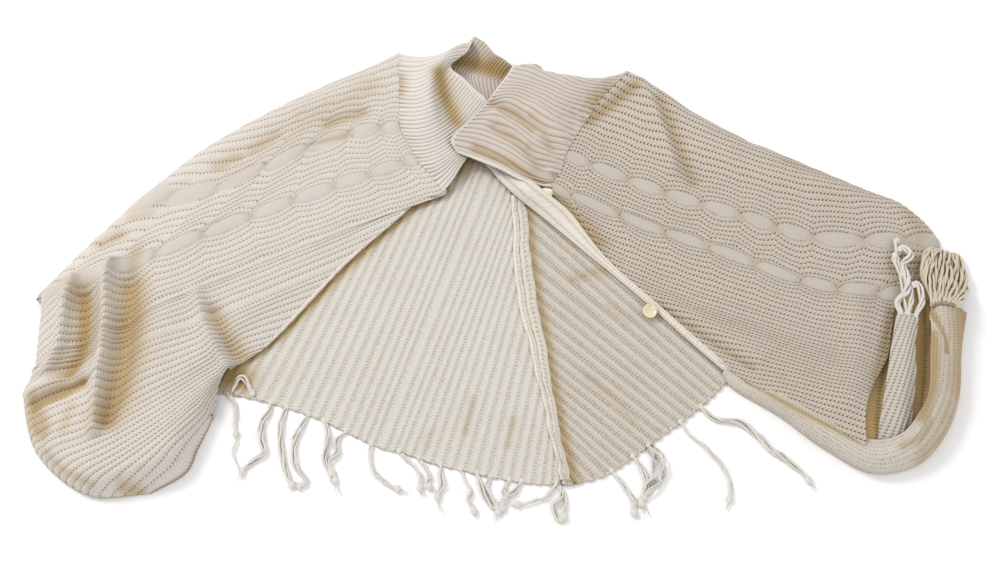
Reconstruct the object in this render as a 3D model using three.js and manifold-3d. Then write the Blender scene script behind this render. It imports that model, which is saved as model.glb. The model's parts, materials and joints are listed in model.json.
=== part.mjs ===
// Knitted poncho, laid flat on its back with both fronts opened out. Millimetres, +Z up.
import * as THREE from 'three';
import Module from 'manifold-3d';
import { mergeVertices } from 'three/addons/utils/BufferGeometryUtils.js';

// Driving sizes
const wall = 3;
const collarWall = 3;
const ribHeight = 0.7;
const ovalHeight = 2.6;
const ovalPitch = 66;
const ovalHalfWidth = 1.3;
const seamGap = 1.3;
const hiddenGap = 0.5;
const hiddenBase = 4.1;
const foldRadius = 24;
const pouchRadius = 34;
const yarnRadius = 1.5;
const buttonRadius = 10;
const buttonThickness = 3.2;

const wasm = await Module();
wasm.setup();

// Materials
const cream = { color: 0xece3cf, roughness: 0.95, metalness: 0 };
const white = { color: 0xf1ece2, roughness: 0.95, metalness: 0 };
const pearl = { color: 0xe9dcb4, roughness: 0.3, metalness: 0 };

const group = new THREE.Group();

function addPiece(name, geometry, look) {
  geometry.computeVertexNormals();
  const mesh = new THREE.Mesh(geometry, new THREE.MeshStandardMaterial({ ...look }));
  mesh.name = name;
  group.add(mesh);
}

// A smooth curve through points, u from 0 to 1
function through(points, u) {
  const last = points.length - 1;
  const i = Math.max(0, Math.min(last - 1, Math.floor(u * last)));
  const t = u * last - i;
  const b = points[i];
  const c = points[i + 1];
  const a = i > 0 ? points[i - 1] : b.map((value, k) => 2 * value - c[k]);
  const d = i + 2 <= last ? points[i + 2] : c.map((value, k) => 2 * value - b[k]);
  return b.map((value, k) => value + 0.5 * t * (c[k] - a[k]
    + t * (2 * a[k] - 5 * value + 4 * c[k] - d[k] + t * (3 * (value - c[k]) + d[k] - a[k]))));
}

function distanceTo(path, x, y) {
  let best = Infinity;
  for (let i = 0; i + 1 < path.length; i += 1) {
    const [ax, ay] = path[i];
    const dx = path[i + 1][0] - ax;
    const dy = path[i + 1][1] - ay;
    const length = dx * dx + dy * dy || 1e-9;
    const t = Math.max(0, Math.min(1, ((x - ax) * dx + (y - ay) * dy) / length));
    best = Math.min(best, Math.hypot(x - ax - t * dx, y - ay - t * dy));
  }
  return best;
}

// A knitted surface from a table: a row per wale, how many ribs follow it, and its points.
// Sides in `rounded` roll over and down to the floor; folds raise or lower the surface.
function knit({ rows, rounded = [], radius = foldRadius, folds = [], seam = null }) {
  const starts = [0];
  rows.forEach((row) => starts.push(starts[starts.length - 1] + row.ribs));
  const ribs = starts[rows.length - 1];
  const rowAt = (rib) => {
    let i = 0;
    while (i < rows.length - 2 && rib > starts[i + 1]) i += 1;
    return i + (rib - starts[i]) / rows[i].ribs;
  };
  const plain = (u, rib) => through(
    rows.map((row) => through(row.points, u)),
    rowAt(rib) / (rows.length - 1),
  );
  const rims = rounded.map(([u0, rib0, u1, rib1]) => Array.from({ length: 61 }, (_, i) => {
    const t = i / 60;
    return plain(u0 + (u1 - u0) * t, (rib0 + (rib1 - rib0) * t) * ribs);
  }));
  const shaped = (u, rib) => {
    const [x, y, z] = plain(u, rib);
    let height = z;
    folds.forEach(({ path, width, rise }) => {
      height += rise * Math.exp(-((distanceTo(path, x, y) / width) ** 2));
    });
    rims.forEach((rim) => {
      const near = Math.min(1, distanceTo(rim, x, y) / (radius + (pouchRadius - foldRadius) * u));
      height *= Math.sqrt(Math.max(0, 1 - (1 - near) ** 2));
    });
    return [x, y, height];
  };
  const at = (u, rib) => {
    const p = shaped(u, rib);
    if (!seam || u > 0.98) return p;
    const edge = shaped(0, rib);
    const target = seam(rowAt(rib));
    return p.map((value, k) => value + (target[k] - edge[k]) * (1 - u) ** 3);
  };
  return { at, ribs, rowAt, starts };
}

// The unit normal that points up
function normalAt(surface, u, rib) {
  const du = u > 0.5 ? -0.003 : 0.003;
  const dr = rib > surface.ribs / 2 ? -0.08 : 0.08;
  const p = new THREE.Vector3(...surface.at(u, rib));
  const a = new THREE.Vector3(...surface.at(u + du, rib)).sub(p).multiplyScalar(Math.sign(du));
  const b = new THREE.Vector3(...surface.at(u, rib + dr)).sub(p).multiplyScalar(Math.sign(dr));
  const n = a.cross(b).normalize();
  return n.z < 0 ? n.negate() : n;
}

const spread = (count, from = 0, to = 1) => (
  Array.from({ length: count + 1 }, (_, i) => from + ((to - from) * i) / count));
const every = (list, step) => list.filter((_, i) => i % step === 0 || i === list.length - 1);

// A closed solid between an outer and an inner grid of points, joined round the rim
function shell(outer, inner) {
  const points = [];
  const faces = [];
  const lay = (grid, flip) => {
    const base = points.length;
    const rows = grid.points.length;
    const columns = grid.points[0].length;
    grid.points.forEach((row) => row.forEach((p) => points.push(p)));
    const id = (i, j) => base + i * columns + j;
    for (let i = 0; i + 1 < rows; i += 1) {
      for (let j = 0; j + 1 < columns; j += 1) {
        const quad = [id(i, j), id(i + 1, j), id(i + 1, j + 1), id(i, j + 1)];
        if (flip) faces.push([quad[0], quad[2], quad[1]], [quad[0], quad[3], quad[2]]);
        else faces.push([quad[0], quad[1], quad[2]], [quad[0], quad[2], quad[3]]);
      }
    }
    const loop = [];
    for (let i = 0; i < rows - 1; i += 1) loop.push({ id: id(i, 0), at: grid.us[i] });
    for (let j = 0; j < columns - 1; j += 1) loop.push({ id: id(rows - 1, j), at: 1 + grid.vs[j] });
    for (let i = rows - 1; i > 0; i -= 1) loop.push({ id: id(i, columns - 1), at: 3 - grid.us[i] });
    for (let j = columns - 1; j > 0; j -= 1) loop.push({ id: id(0, j), at: 4 - grid.vs[j] });
    loop.push({ id: loop[0].id, at: 4 });
    return loop;
  };
  const a = lay(outer, false);
  const b = lay(inner, true);
  let i = 0;
  let j = 0;
  while (i + 1 < a.length || j + 1 < b.length) {
    const step = j + 1 >= b.length || (i + 1 < a.length && a[i + 1].at <= b[j + 1].at + 1e-9);
    if (step) {
      faces.push([a[i + 1].id, a[i].id, b[j].id]);
      i += 1;
    } else {
      faces.push([a[i].id, b[j].id, b[j + 1].id]);
      j += 1;
    }
  }
  return solidFrom(points, faces);
}

function solidFrom(points, faces) {
  let volume = 0;
  const v = points.map((p) => new THREE.Vector3(...p));
  faces.forEach(([a, b, c]) => {
    volume += v[a].dot(v[b].clone().cross(v[c]));
  });
  if (volume < 0) faces.forEach((face) => face.reverse());
  const geometry = new THREE.BufferGeometry();
  geometry.setAttribute('position', new THREE.Float32BufferAttribute(points.flat(), 3));
  geometry.setIndex(faces.flat());
  return geometry;
}

// Each rib is raised in its middle, which is every second column of the grid
const plainRib = (u, rib, j) => (j % 2 ? ribHeight : -ribHeight);

// Knitted cloth with raised ribs on its outer face and a plain inner face
function clothSolid(surface, options) {
  const { us, innerU = 2, innerRibs = 2, thickness = wall, relief = plainRib, flat = false } = options;
  const ribs = spread(Math.round(surface.ribs * 2), 0, surface.ribs);
  const share = (rib) => rib / surface.ribs;
  const outer = {
    us,
    vs: ribs.map(share),
    points: us.map((u) => ribs.map((rib, j) => {
      const n = normalAt(surface, u, rib);
      const lift = relief(u, rib, j);
      const p = surface.at(u, rib);
      const fade = Math.min(1, Math.max(0, p[2] / 8));
      return [p[0] + n.x * lift * fade, p[1] + n.y * lift * fade, Math.max(0, p[2] + n.z * lift * fade)];
    })),
  };
  const innerUs = every(us, innerU);
  const inRibs = every(ribs, Math.round(innerRibs * 2));
  const inner = {
    us: innerUs,
    vs: inRibs.map(share),
    points: innerUs.map((u) => inRibs.map((rib) => {
      const p = surface.at(u, rib);
      if (flat) return [p[0], p[1], 0];
      const n = normalAt(surface, u, rib);
      return [p[0] - n.x * thickness, p[1] - n.y * thickness, Math.max(0, p[2] - n.z * thickness)];
    })),
  };
  return shell(outer, inner);
}

// The hidden layers under a cloth: one solid that follows its underside
function hiddenSolid(surface, { us, ribs, thickness = wall, base = hiddenBase }) {
  const top = us.map((u) => ribs.map((rib) => {
    const p = surface.at(u, rib);
    const n = normalAt(surface, u, rib);
    const drop = thickness + hiddenGap;
    return [p[0] - n.x * drop, p[1] - n.y * drop, Math.max(base + 1, p[2] - n.z * drop)];
  }));
  const shareU = us.map((u) => (u - us[0]) / (us[us.length - 1] - us[0]));
  const shareV = ribs.map((rib) => (rib - ribs[0]) / (ribs[ribs.length - 1] - ribs[0]));
  return shell(
    { us: shareU, vs: shareV, points: top },
    { us: shareU, vs: shareV, points: top.map((row) => row.map(([x, y]) => [x, y, base])) },
  );
}

// A solid swept through rings of points, with flat ends
function swept(rings) {
  const count = rings[0].length;
  const faces = [];
  for (let i = 0; i + 1 < rings.length; i += 1) {
    for (let j = 0; j < count; j += 1) {
      const a = i * count + j;
      const b = i * count + ((j + 1) % count);
      faces.push([a, b, b + count], [a, b + count, a + count]);
    }
  }
  const last = (rings.length - 1) * count;
  for (let j = 1; j + 1 < count; j += 1) {
    faces.push([0, j + 1, j], [last, last + j, last + j + 1]);
  }
  return solidFrom(rings.flat(), faces);
}

// Rings of a round yarn along a path
function yarn(path, radius, sides = 4, steps = 6) {
  return swept(spread(steps).map((t) => {
    const p = through(path, t);
    const q = through(path, Math.min(1, t + 0.02));
    const o = through(path, Math.max(0, t - 0.02));
    const length = Math.hypot(q[0] - o[0], q[1] - o[1]) || 1;
    const side = [-(q[1] - o[1]) / length, (q[0] - o[0]) / length];
    const thin = radius * (t > 0.9 ? 0.7 : 1);
    return Array.from({ length: sides }, (_, k) => {
      const angle = ((k + 0.5) / sides) * Math.PI * 2;
      const out = Math.cos(angle) * thin * 1.3;
      return [p[0] + side[0] * out, p[1] + side[1] * out, p[2] + Math.sin(angle) * thin * 1.3];
    });
  }));
}

function toSolid(geometry) {
  const bare = geometry.clone();
  bare.deleteAttribute('normal');
  bare.deleteAttribute('uv');
  const merged = mergeVertices(bare, 1e-4);
  return new wasm.Manifold(new wasm.Mesh({
    numProp: 3,
    vertProperties: new Float32Array(merged.attributes.position.array),
    triVerts: new Uint32Array(merged.index.array),
  }));
}

function fromSolid(solid) {
  const mesh = solid.getMesh();
  const geometry = new THREE.BufferGeometry();
  geometry.setAttribute('position', new THREE.BufferAttribute(new Float32Array(mesh.vertProperties), 3));
  geometry.setIndex(new THREE.BufferAttribute(new Uint32Array(mesh.triVerts), 1));
  return geometry;
}

// Fringe: a narrow backing along a hem with yarns that spring from it
function fringe(backing, strands, height) {
  const bar = backing.map(([x, y, z], i) => {
    const next = backing[Math.min(backing.length - 1, i + 1)];
    const before = backing[Math.max(0, i - 1)];
    const length = Math.hypot(next[0] - before[0], next[1] - before[1]);
    const side = [-(next[1] - before[1]) / length * 1.6, (next[0] - before[0]) / length * 1.6];
    return [
      [x - side[0], y - side[1], z],
      [x + side[0], y + side[1], z],
      [x + side[0], y + side[1], z + height],
      [x - side[0], y - side[1], z + height],
    ];
  });
  let solid = toSolid(swept(bar));
  strands.forEach((strand) => {
    const [x, y] = strand[0];
    const root = backing.reduce((best, p) => (
      Math.hypot(p[0] - x, p[1] - y) < Math.hypot(best[0] - x, best[1] - y) ? p : best));
    const hanging = strand.slice(1).map(([px, py, pz = 2.3]) => [px, py, pz]);
    const path = [[root[0], root[1], root[2] + height / 2], ...hanging];
    solid = solid.add(toSolid(yarn(path, yarnRadius)));
  });
  return fromSolid(solid);
}

// Back, left half: wales from the shoulder to the hem, the first two under the left front
const backLeftRows = [
  { ribs: 2, points: [[-540, -10, 3], [-500, -262, 3]] },
  { ribs: 3, points: [[-400, 190, 3], [-432, -215, 3]] },
  { ribs: 8, points: [[-178, 325, 3], [-384, -174, 3]] },
  { ribs: 8, points: [[-92, 290, 3], [-265, -201, 3]] },
  { ribs: 3, points: [[-15, 215, 3], [-164, -249, 3]] },
  { ribs: 3, points: [[13, 158, 3], [-125, -260, 3]] },
  { ribs: 3, points: [[20, 92, 3], [-87, -274, 3]] },
  { ribs: 3, points: [[24, -15, 3], [-44, -285, 3]] },
  { ribs: 3, points: [[42, -106, 3], [0, -295, 3]] },
  { ribs: 3, points: [[61, -201, 3], [43, -302, 3]] },
  { ribs: 1, points: [[77, -284, 3], [81, -303, 3]] },
];
const backLeft = knit({ rows: backLeftRows });

// Back, right half: wales from the seam to the hem, the last two under the right front
const backRightRows = [
  { ribs: 3, points: [[89, -290, 3], [95, -303, 3]] },
  { ribs: 6, points: [[76, -220, 3], [141, -288, 3]] },
  { ribs: 5, points: [[63, -117, 3], [203, -243, 3]] },
  { ribs: 4, points: [[46, 1, 3], [258, -201, 3]] },
  { ribs: 3, points: [[38, 109, 3], [298, -163, 3]] },
  { ribs: 2, points: [[40, 150, 3], [330, -125, 3]] },
  { ribs: 1, points: [[110, 225, 3], [400, -90, 3]] },
  { ribs: 1, points: [[230, 265, 3], [500, -50, 3]] },
];
const backRight = knit({ rows: backRightRows });

// Left front: wales from the collar and the opening edge to the fold and the folded hem
const frontLeftRows = [
  {
    name: 'fold', ribs: 5,
    points: [[-155, 406, 16], [-185, 386, 16], [-216, 369, 17], [-247, 353, 17], [-280, 336, 18]],
  },
  {
    name: 'shoulder', ribs: 5,
    points: [[-149, 320, 16], [-213, 304, 17], [-280, 281, 18], [-349, 252, 19], [-422, 237, 20]],
  },
  {
    name: 'upper ovals', ribs: 7,
    points: [[-144, 258, 15], [-235, 240, 17], [-334, 186, 20], [-430, 134, 24], [-526, 126, 26]],
  },
  {
    name: 'lower ovals', ribs: 7,
    points: [[-117, 201, 14], [-241, 148, 16], [-372, 86, 22], [-497, 12, 38], [-633, -39, 34]],
  },
  {
    name: 'neck corner', ribs: 1,
    points: [[-77, 145, 10], [-215, 90, 14], [-353, 21, 20], [-485, -59, 36], [-627, -132, 26]],
  },
  {
    name: 'below the corner', ribs: 1,
    points: [[-114, 131, 9], [-236, 62, 14], [-362, -3, 21], [-488, -77, 36], [-629, -145, 25]],
  },
  {
    name: 'opening top', ribs: 2,
    points: [[-152, 92, 9], [-262, 32, 14], [-371, -26, 22], [-491, -94, 37], [-631, -157, 24]],
  },
  {
    name: 'opening', ribs: 5,
    points: [[-217, 22, 7.6], [-297, -22, 15], [-387, -73, 24], [-498, -130, 38], [-635, -183, 22]],
  },
  {
    name: 'turn', ribs: 4,
    points: [[-310, -99, 7.6], [-373, -130, 20], [-439, -185, 36], [-510, -231, 42], [-603, -262, 30]],
  },
  {
    name: 'pouch', ribs: 3,
    points: [[-367, -147, 12], [-392, -198, 34], [-430, -247, 44], [-478, -286, 40], [-529, -318, 34]],
  },
  {
    name: 'pouch edge', ribs: 1,
    points: [[-378, -200, 14], [-384, -223, 30], [-395, -254, 40], [-407, -288, 36], [-450, -316, 30]],
  },
];
const frontLeftFolds = [
  { path: [[-534, 6], [-539, -60], [-540, -158], [-527, -232]], width: 15, rise: 12 },
  { path: [[-498, -45], [-490, -142], [-508, -228]], width: 20, rise: -14 },
  { path: [[-573, -50], [-566, -145]], width: 18, rise: -14 },
  { path: [[-590, 0], [-600, -52], [-612, -102]], width: 13, rise: 8 },
  { path: [[-625, -172], [-590, -166], [-548, -160]], width: 14, rise: -9 },
  { path: [[-405, -50], [-385, -112], [-372, -130]], width: 16, rise: 8 },
  { path: [[-380, -52], [-350, -102]], width: 14, rise: -6 },
  { path: [[-207, 305], [-254, 275], [-284, 240]], width: 15, rise: -3 },
  { path: [[-298, 262], [-405, 190]], width: 16, rise: -4 },
];
const frontLeft = knit({
  rows: frontLeftRows,
  rounded: [[0, 0, 1, 0], [1, 0, 1, 1], [0.15, 1, 1, 1]],
  folds: frontLeftFolds,
});

// Right front: wales from the collar and the band to the fold and the turned-up hem
const frontRightRows = [
  {
    name: 'fold', ribs: 5,
    points: [[199, 367, 16], [243, 334, 17], [286, 295, 17], [330, 263, 16], [373, 237, 14]],
  },
  {
    name: 'shoulder', ribs: 5,
    points: [[150, 312, 16], [234, 269, 17], [324, 225, 16], [420, 188, 14], [523, 157, 13]],
  },
  {
    name: 'sleeve', ribs: 6,
    points: [[116, 257, 15], [223, 206, 16], [336, 162, 15], [456, 125, 14], [586, 123, 12]],
  },
  {
    name: 'upper ovals', ribs: 7,
    points: [[92, 211, 14], [211, 151, 15], [332, 106, 15], [456, 64, 14], [623, 63, 12]],
  },
  {
    name: 'lower ovals', ribs: 8,
    points: [[77, 152, 11], [199, 87, 13], [316, 36, 15], [436, -16, 17], [550, -34, 16]],
  },
  {
    name: 'band', ribs: 4,
    points: [[136, 44, 8], [225, -6, 12], [319, -48, 15], [420, -91, 20], [523, -121, 20]],
  },
  {
    name: 'lower band', ribs: 4,
    points: [[202, -32, 8], [268, -62, 13], [339, -95, 17], [421, -134, 22], [499, -164, 22]],
  },
  {
    name: 'hem side', ribs: 4,
    points: [[262, -97, 8], [314, -124, 14], [368, -148, 19], [426, -175, 23], [481, -202, 22]],
  },
  {
    name: 'roll line', ribs: 1,
    points: [[318, -154, 12], [351, -178, 16], [392, -198, 19], [432, -230, 23], [473, -261, 24]],
  },
];
const frontRightFolds = [
  { path: [[215, 330], [218, 283], [233, 228], [246, 187]], width: 12, rise: 5 },
  { path: [[240, 308], [257, 243], [275, 180]], width: 14, rise: -4 },
  { path: [[160, 297], [130, 276]], width: 13, rise: -3 },
  { path: [[232, -45], [262, -72], [314, -113], [346, -142]], width: 10, rise: -3 },
  { path: [[462, -78], [465, -150], [462, -222]], width: 16, rise: 5 },
];
const frontRight = knit({
  rows: frontRightRows,
  rounded: [[0, 0, 1, 0], [1, 0, 1, 0.37]],
  radius: 20,
  folds: frontRightFolds,
});

// The two lengthwise rows of pinched ovals
function ovals(surface, length, rows) {
  return (u, rib, j) => {
    const row = rows.find((start) => Math.abs(rib - surface.starts[start]) < ovalHalfWidth);
    if (row === undefined) return plainRib(u, rib, j);
    const across = 1 - ((rib - surface.starts[row]) / ovalHalfWidth) ** 2;
    return ovalHeight * across * Math.sqrt(Math.abs(Math.sin((Math.PI * u * length) / ovalPitch)));
  };
}

const frontLeftUs = [...spread(14, 0, 0.87), 0.92, 0.955, 0.98, 0.995, 1];
const frontRightUs = [...spread(15, 0, 0.92), 0.955, 0.985, 1];
const leftOvals = ovals(frontLeft, 520, [2, 3]);
const rightOvals = ovals(frontRight, 520, [3, 4]);
addPiece('front_left', clothSolid(frontLeft, { us: frontLeftUs, relief: leftOvals }), cream);
addPiece('front_right', clothSolid(frontRight, { us: frontRightUs, relief: rightOvals }), cream);
addPiece('inner_left', hiddenSolid(frontLeft, {
  us: every(frontLeftUs, 2).filter((u) => u > 0.28 && u < 0.93),
  ribs: spread(16, 6, 38),
}), cream);
addPiece('inner_right', hiddenSolid(frontRight, {
  us: every(frontRightUs, 2).filter((u) => u > 0.28 && u < 0.94),
  ribs: spread(18, 6, 42),
}), cream);

addPiece('back_left', clothSolid(backLeft, { us: spread(3), flat: true, innerU: 3 }), cream);
addPiece('back_right', clothSolid(backRight, { us: spread(3), flat: true, innerU: 3 }), cream);

// Seam turnings: two rounded strips that stand up between the halves of the back
function turning(from, to, steps) {
  return swept(spread(steps).map((t) => {
    const [ax, ay] = through(from, t);
    const [bx, by] = through(to, t);
    const rise = 6.4 + 0.8 * Math.sin(t * 31);
    const part = (share) => [ax + (bx - ax) * share, ay + (by - ay) * share, rise];
    return [[ax, ay, 0], [bx, by, 0], [bx, by, rise - 1.2], part(0.7), part(0.3), [ax, ay, rise - 1.4]];
  }));
}
const seamLeft = [[18, 140], [21, 92], [25, -15], [43, -106], [62, -201], [78, -284], [83, -304]];
const seamRight = [[33, 140], [37, 109], [45, 1], [62, -117], [75, -220], [88, -290], [93, -304]];
const inset = (points, by) => points.map(([x, y]) => [x + by, y]);
const middle = seamLeft.map(([x, y], i) => [(x + seamRight[i][0]) / 2, (y + seamRight[i][1]) / 2]);
addPiece('seam_turning_left', turning(inset(seamLeft, 0.6), inset(middle, -0.2), 18), cream);
addPiece('seam_turning_right', turning(inset(middle, 0.2), inset(seamRight, -0.7), 18), cream);

// Collar, sewn along the fronts: u runs from the seam to the free edge
function sewnTo(front, rowMap) {
  return (row) => {
    const i = Math.min(rowMap.length - 2, Math.floor(row));
    const index = rowMap[i] + (rowMap[i + 1] - rowMap[i]) * (row - i);
    const whole = Math.min(front.starts.length - 3, Math.floor(index));
    const rib = front.starts[whole] + (front.starts[whole + 1] - front.starts[whole]) * (index - whole);
    const here = front.at(0, rib);
    const there = front.at(0, rib + 0.05);
    const length = Math.hypot(there[0] - here[0], there[1] - here[1]);
    let side = [-(there[1] - here[1]) / length, (there[0] - here[0]) / length];
    const inward = front.at(0.1, rib);
    if ((inward[0] - here[0]) * side[0] + (inward[1] - here[1]) * side[1] > 0) side = [-side[0], -side[1]];
    return [here[0] + side[0] * seamGap, here[1] + side[1] * seamGap, here[2]];
  };
}
const collarLeft = knit({
  rows: [
    { ribs: 6, points: [[-150, 402, 12], [-105, 400, 16], [-72, 420, 22], [-46, 424, 26]] },
    { ribs: 6, points: [[-145, 333, 16], [-109, 318, 38], [-84, 343, 44], [-58, 366, 40]] },
    { ribs: 6, points: [[-140, 263, 18], [-106, 261, 40], [-81, 307, 20], [-72, 351, 34]] },
    { ribs: 5, points: [[-110, 196, 18], [-82, 221, 30], [-56, 269, 20], [-35, 308, 30]] },
    { ribs: 1, points: [[-73, 147, 14], [-58, 177, 18], [-24, 228, 16], [2, 276, 19]] },
  ],
  rounded: [[0, 0, 1, 0]],
  radius: 16,
  seam: sewnTo(frontLeft, [0.06, 1, 2, 3, 3.88]),
});
const collarRight = knit({
  rows: [
    { ribs: 9, points: [[196, 361, 14], [137, 356, 20], [80, 363, 28], [20, 357, 34]] },
    { ribs: 7, points: [[133, 299, 16], [89, 291, 30], [45, 300, 34], [-6, 299, 41]] },
    { ribs: 8, points: [[95, 235, 16], [51, 231, 32], [7, 246, 35], [-44, 252, 38]] },
    { ribs: 1, points: [[65, 155, 13], [33, 155, 22], [-14, 178, 27], [-68, 208, 28]] },
  ],
  rounded: [[0, 0, 0.8, 0]],
  radius: 18,
  folds: [
    { path: [[-8, 270], [26, 250], [43, 232]], width: 13, rise: -6 },
    { path: [[-5, 252], [31, 203]], width: 12, rise: 4 },
  ],
  seam: sewnTo(frontRight, [0.12, 1.4, 2.5, 4]),
});
const collarBack = knit({
  rows: [
    { ribs: 3, points: [[-50, 289, 9], [-63, 345, 10], [-48, 406, 30]] },
    { ribs: 3, points: [[-30, 296, 9], [-38, 350, 9.5], [-26, 397, 30]] },
    { ribs: 4, points: [[-12, 296, 9], [-15, 348, 9.5], [-5, 378, 29]] },
    { ribs: 1, points: [[28, 285, 9], [28, 322, 11], [21, 348, 27]] },
  ],
});
const collarCloth = { us: spread(8), thickness: collarWall, innerU: 1 };
addPiece('collar_left', clothSolid(collarLeft, collarCloth), cream);
addPiece('collar_right', clothSolid(collarRight, collarCloth), cream);
const stand = { us: spread(6), thickness: collarWall, innerU: 1, innerRibs: 1 };
addPiece('collar_back', clothSolid(collarBack, stand), cream);

// Left band: turned under, so that only its rolled edge shows along the opening
const openingEdge = spread(30, frontLeft.starts[6] + 0.2, frontLeft.starts[9] - 0.4).map((rib) => {
  const here = frontLeft.at(0, rib);
  const there = frontLeft.at(0, rib + 0.05);
  const length = Math.hypot(there[0] - here[0], there[1] - here[1]);
  const out = [-(there[1] - here[1]) / length, (there[0] - here[0]) / length];
  return [here[0] + out[0] * 3.9, here[1] + out[1] * 3.9, 6.8];
});
addPiece('band_left', yarn(openingEdge, 2, 6, 34), white);

// Right band: twisted near the neck, flat along the edge lower down
const bandRight = [
  { upper: [-17, 180, 14], lower: [-13, 172, 9] },
  { upper: [20, 149, 17], lower: [9, 148, 9.5] },
  { upper: [60, 128, 20], lower: [39, 118, 9] },
  { upper: [90, 106, 21], lower: [69, 92, 8.5] },
  { upper: [106, 80, 21], lower: [88, 72, 5.8] },
  { upper: [120, 56, 18], lower: [109, 50, 5.6] },
  { upper: [142, 30, 13.4], lower: [132, 21, 5.6] },
  { upper: [201, -34, 11.2], lower: [188, -43, 5.6] },
  { upper: [262, -95, 11.2], lower: [250, -109, 5.6] },
  { upper: [308, -148, 12.6], lower: [298, -160, 5.6] },
];
addPiece('band_right', swept(spread(36).map((t) => {
  const upper = through(bandRight.map((row) => row.upper), t);
  const lower = through(bandRight.map((row) => row.lower), t);
  const across = new THREE.Vector3(...upper).sub(new THREE.Vector3(...lower)).normalize();
  const up = new THREE.Vector3(0, 0, 1);
  const n = up.sub(across.clone().multiplyScalar(across.z)).normalize().multiplyScalar(1.3);
  const middleOf = upper.map((value, k) => (value + lower[k]) / 2);
  const raise = 1 + 0.5 * Math.sin(t * 60);
  return [
    [lower[0] - n.x, lower[1] - n.y, lower[2] - n.z],
    [upper[0] - n.x, upper[1] - n.y, upper[2] - n.z],
    [upper[0] + n.x, upper[1] + n.y, upper[2] + n.z],
    [middleOf[0] + n.x * (1 + raise), middleOf[1] + n.y * (1 + raise), middleOf[2] + n.z * (1 + raise)],
    [lower[0] + n.x, lower[1] + n.y, lower[2] + n.z],
  ];
})), white);

// Turned-up hem end of the right front: a roll round its end, a tongue, the layers inside
const turnup = knit({
  rows: [
    { ribs: 2, points: [[321, -158, 12], [319, -164, 14], [315, -169, 9], [314, -169, 0]] },
    { ribs: 3, points: [[368, -190, 19], [370, -198, 25], [370, -206, 15], [369, -207, 0]] },
    { ribs: 3, points: [[426, -230, 23], [427, -241, 30], [422, -251, 17], [419, -250, 0]] },
    { ribs: 3, points: [[474, -266, 25], [478, -276, 32], [481, -289, 18], [480, -287, 0]] },
    { ribs: 3, points: [[520, -250, 27], [528, -257, 34], [541, -274, 20], [540, -278, 0]] },
    { ribs: 3, points: [[546, -214, 30], [557, -218, 38], [581, -236, 22], [582, -238, 0]] },
    { ribs: 3, points: [[564, -180, 32], [577, -181, 41], [604, -184, 24], [610, -184, 0]] },
    { ribs: 3, points: [[575, -121, 34], [590, -118, 42], [618, -108, 27], [629, -104, 4]] },
    { ribs: 1, points: [[582, -62, 38], [597, -60, 43], [622, -60, 33], [638, -60, 18]] },
  ],
});
const rollCloth = { us: spread(7), thickness: 2.6, innerU: 1, innerRibs: 1.5 };
addPiece('turnup_right', clothSolid(turnup, rollCloth), cream);
const tongue = knit({
  rows: [
    {
      ribs: 1.5,
      points: [[496, -243, 13], [500, -216, 18], [508, -179, 26], [522, -123, 31], [536, -72, 35]],
    },
    {
      ribs: 1.5,
      points: [[511, -242, 17], [522, -210, 26], [532, -166, 35], [542, -119, 38], [552, -74, 38]],
    },
    {
      ribs: 1,
      points: [[524, -238, 12], [540, -203, 17], [550, -157, 26], [556, -116, 31], [566, -77, 34]],
    },
  ],
});
const tongueCloth = { us: spread(10), thickness: 2.6, innerU: 1, innerRibs: 1 };
addPiece('turnup_tongue', clothSolid(tongue, tongueCloth), cream);
const innerTurnup = [
  [500, -240], [524, -260], [539, -268], [578, -232], [606, -182], [622, -108],
  [624, -67], [560, -70], [552, -120], [536, -170], [514, -206],
];
const hollow = (points, by) => {
  const cx = points.reduce((sum, p) => sum + p[0], 0) / points.length;
  const cy = points.reduce((sum, p) => sum + p[1], 0) / points.length;
  return points.map(([x, y]) => [cx + (x - cx) * by, cy + (y - cy) * by]);
};
addPiece('inner_turnup', swept([[0.94, 0], [1, 2], [0.95, 5], [1, 7.5], [0.93, 9.2]].map(([by, z]) => (
  hollow(innerTurnup, by).map(([x, y]) => [x, y, z])))), cream);

// Fringe along the back hem and the right front's hem
const hemOf = (surface, from, to, count, out) => spread(count, from, to).map((rib) => {
  const here = surface.at(1, rib);
  const there = surface.at(1, rib + 0.05);
  const inside = surface.at(0.9, rib);
  const length = Math.hypot(there[0] - here[0], there[1] - here[1]);
  let side = [-(there[1] - here[1]) / length, (there[0] - here[0]) / length];
  if ((inside[0] - here[0]) * side[0] + (inside[1] - here[1]) * side[1] > 0) side = [-side[0], -side[1]];
  return [here[0] + side[0] * out, here[1] + side[1] * out, here[2] > 5 ? here[2] - 3 : 0.4];
});
const fringeLeft = [
  [[-358, -161], [-350, -192], [-348, -241], [-327, -292]],
  [[-305, -186], [-312, -211], [-304, -248], [-326, -276]],
  [[-284, -197], [-284, -251], [-267, -301], [-246, -304]],
  [[-255, -208], [-267, -244], [-259, -282], [-249, -299]],
  [[-224, -225], [-220, -264], [-203, -301], [-198, -314]],
  [[-202, -234], [-209, -241], [-205, -254], [-213, -269]],
  [[-169, -248], [-168, -269], [-143, -308], [-119, -315]],
  [[-133, -260], [-114, -276], [-103, -299], [-99, -320]],
  [[-107, -269], [-95, -286], [-92, -301], [-85, -308]],
  [[-79, -281], [-76, -299], [-78, -318], [-74, -339]],
  [[-53, -292], [-36, -309], [-44, -319], [-32, -350]],
  [[-32, -296], [-23, -312], [-4, -334], [-5, -350]],
  [[-12, -297], [-6, -316], [0, -324], [8, -333]],
  [[26, -307], [21, -314], [12, -316], [-1, -326]],
  [[72, -308], [58, -319], [35, -326], [9, -330]],
  [[81, -311], [72, -326], [69, -346], [80, -355]],
];
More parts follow.
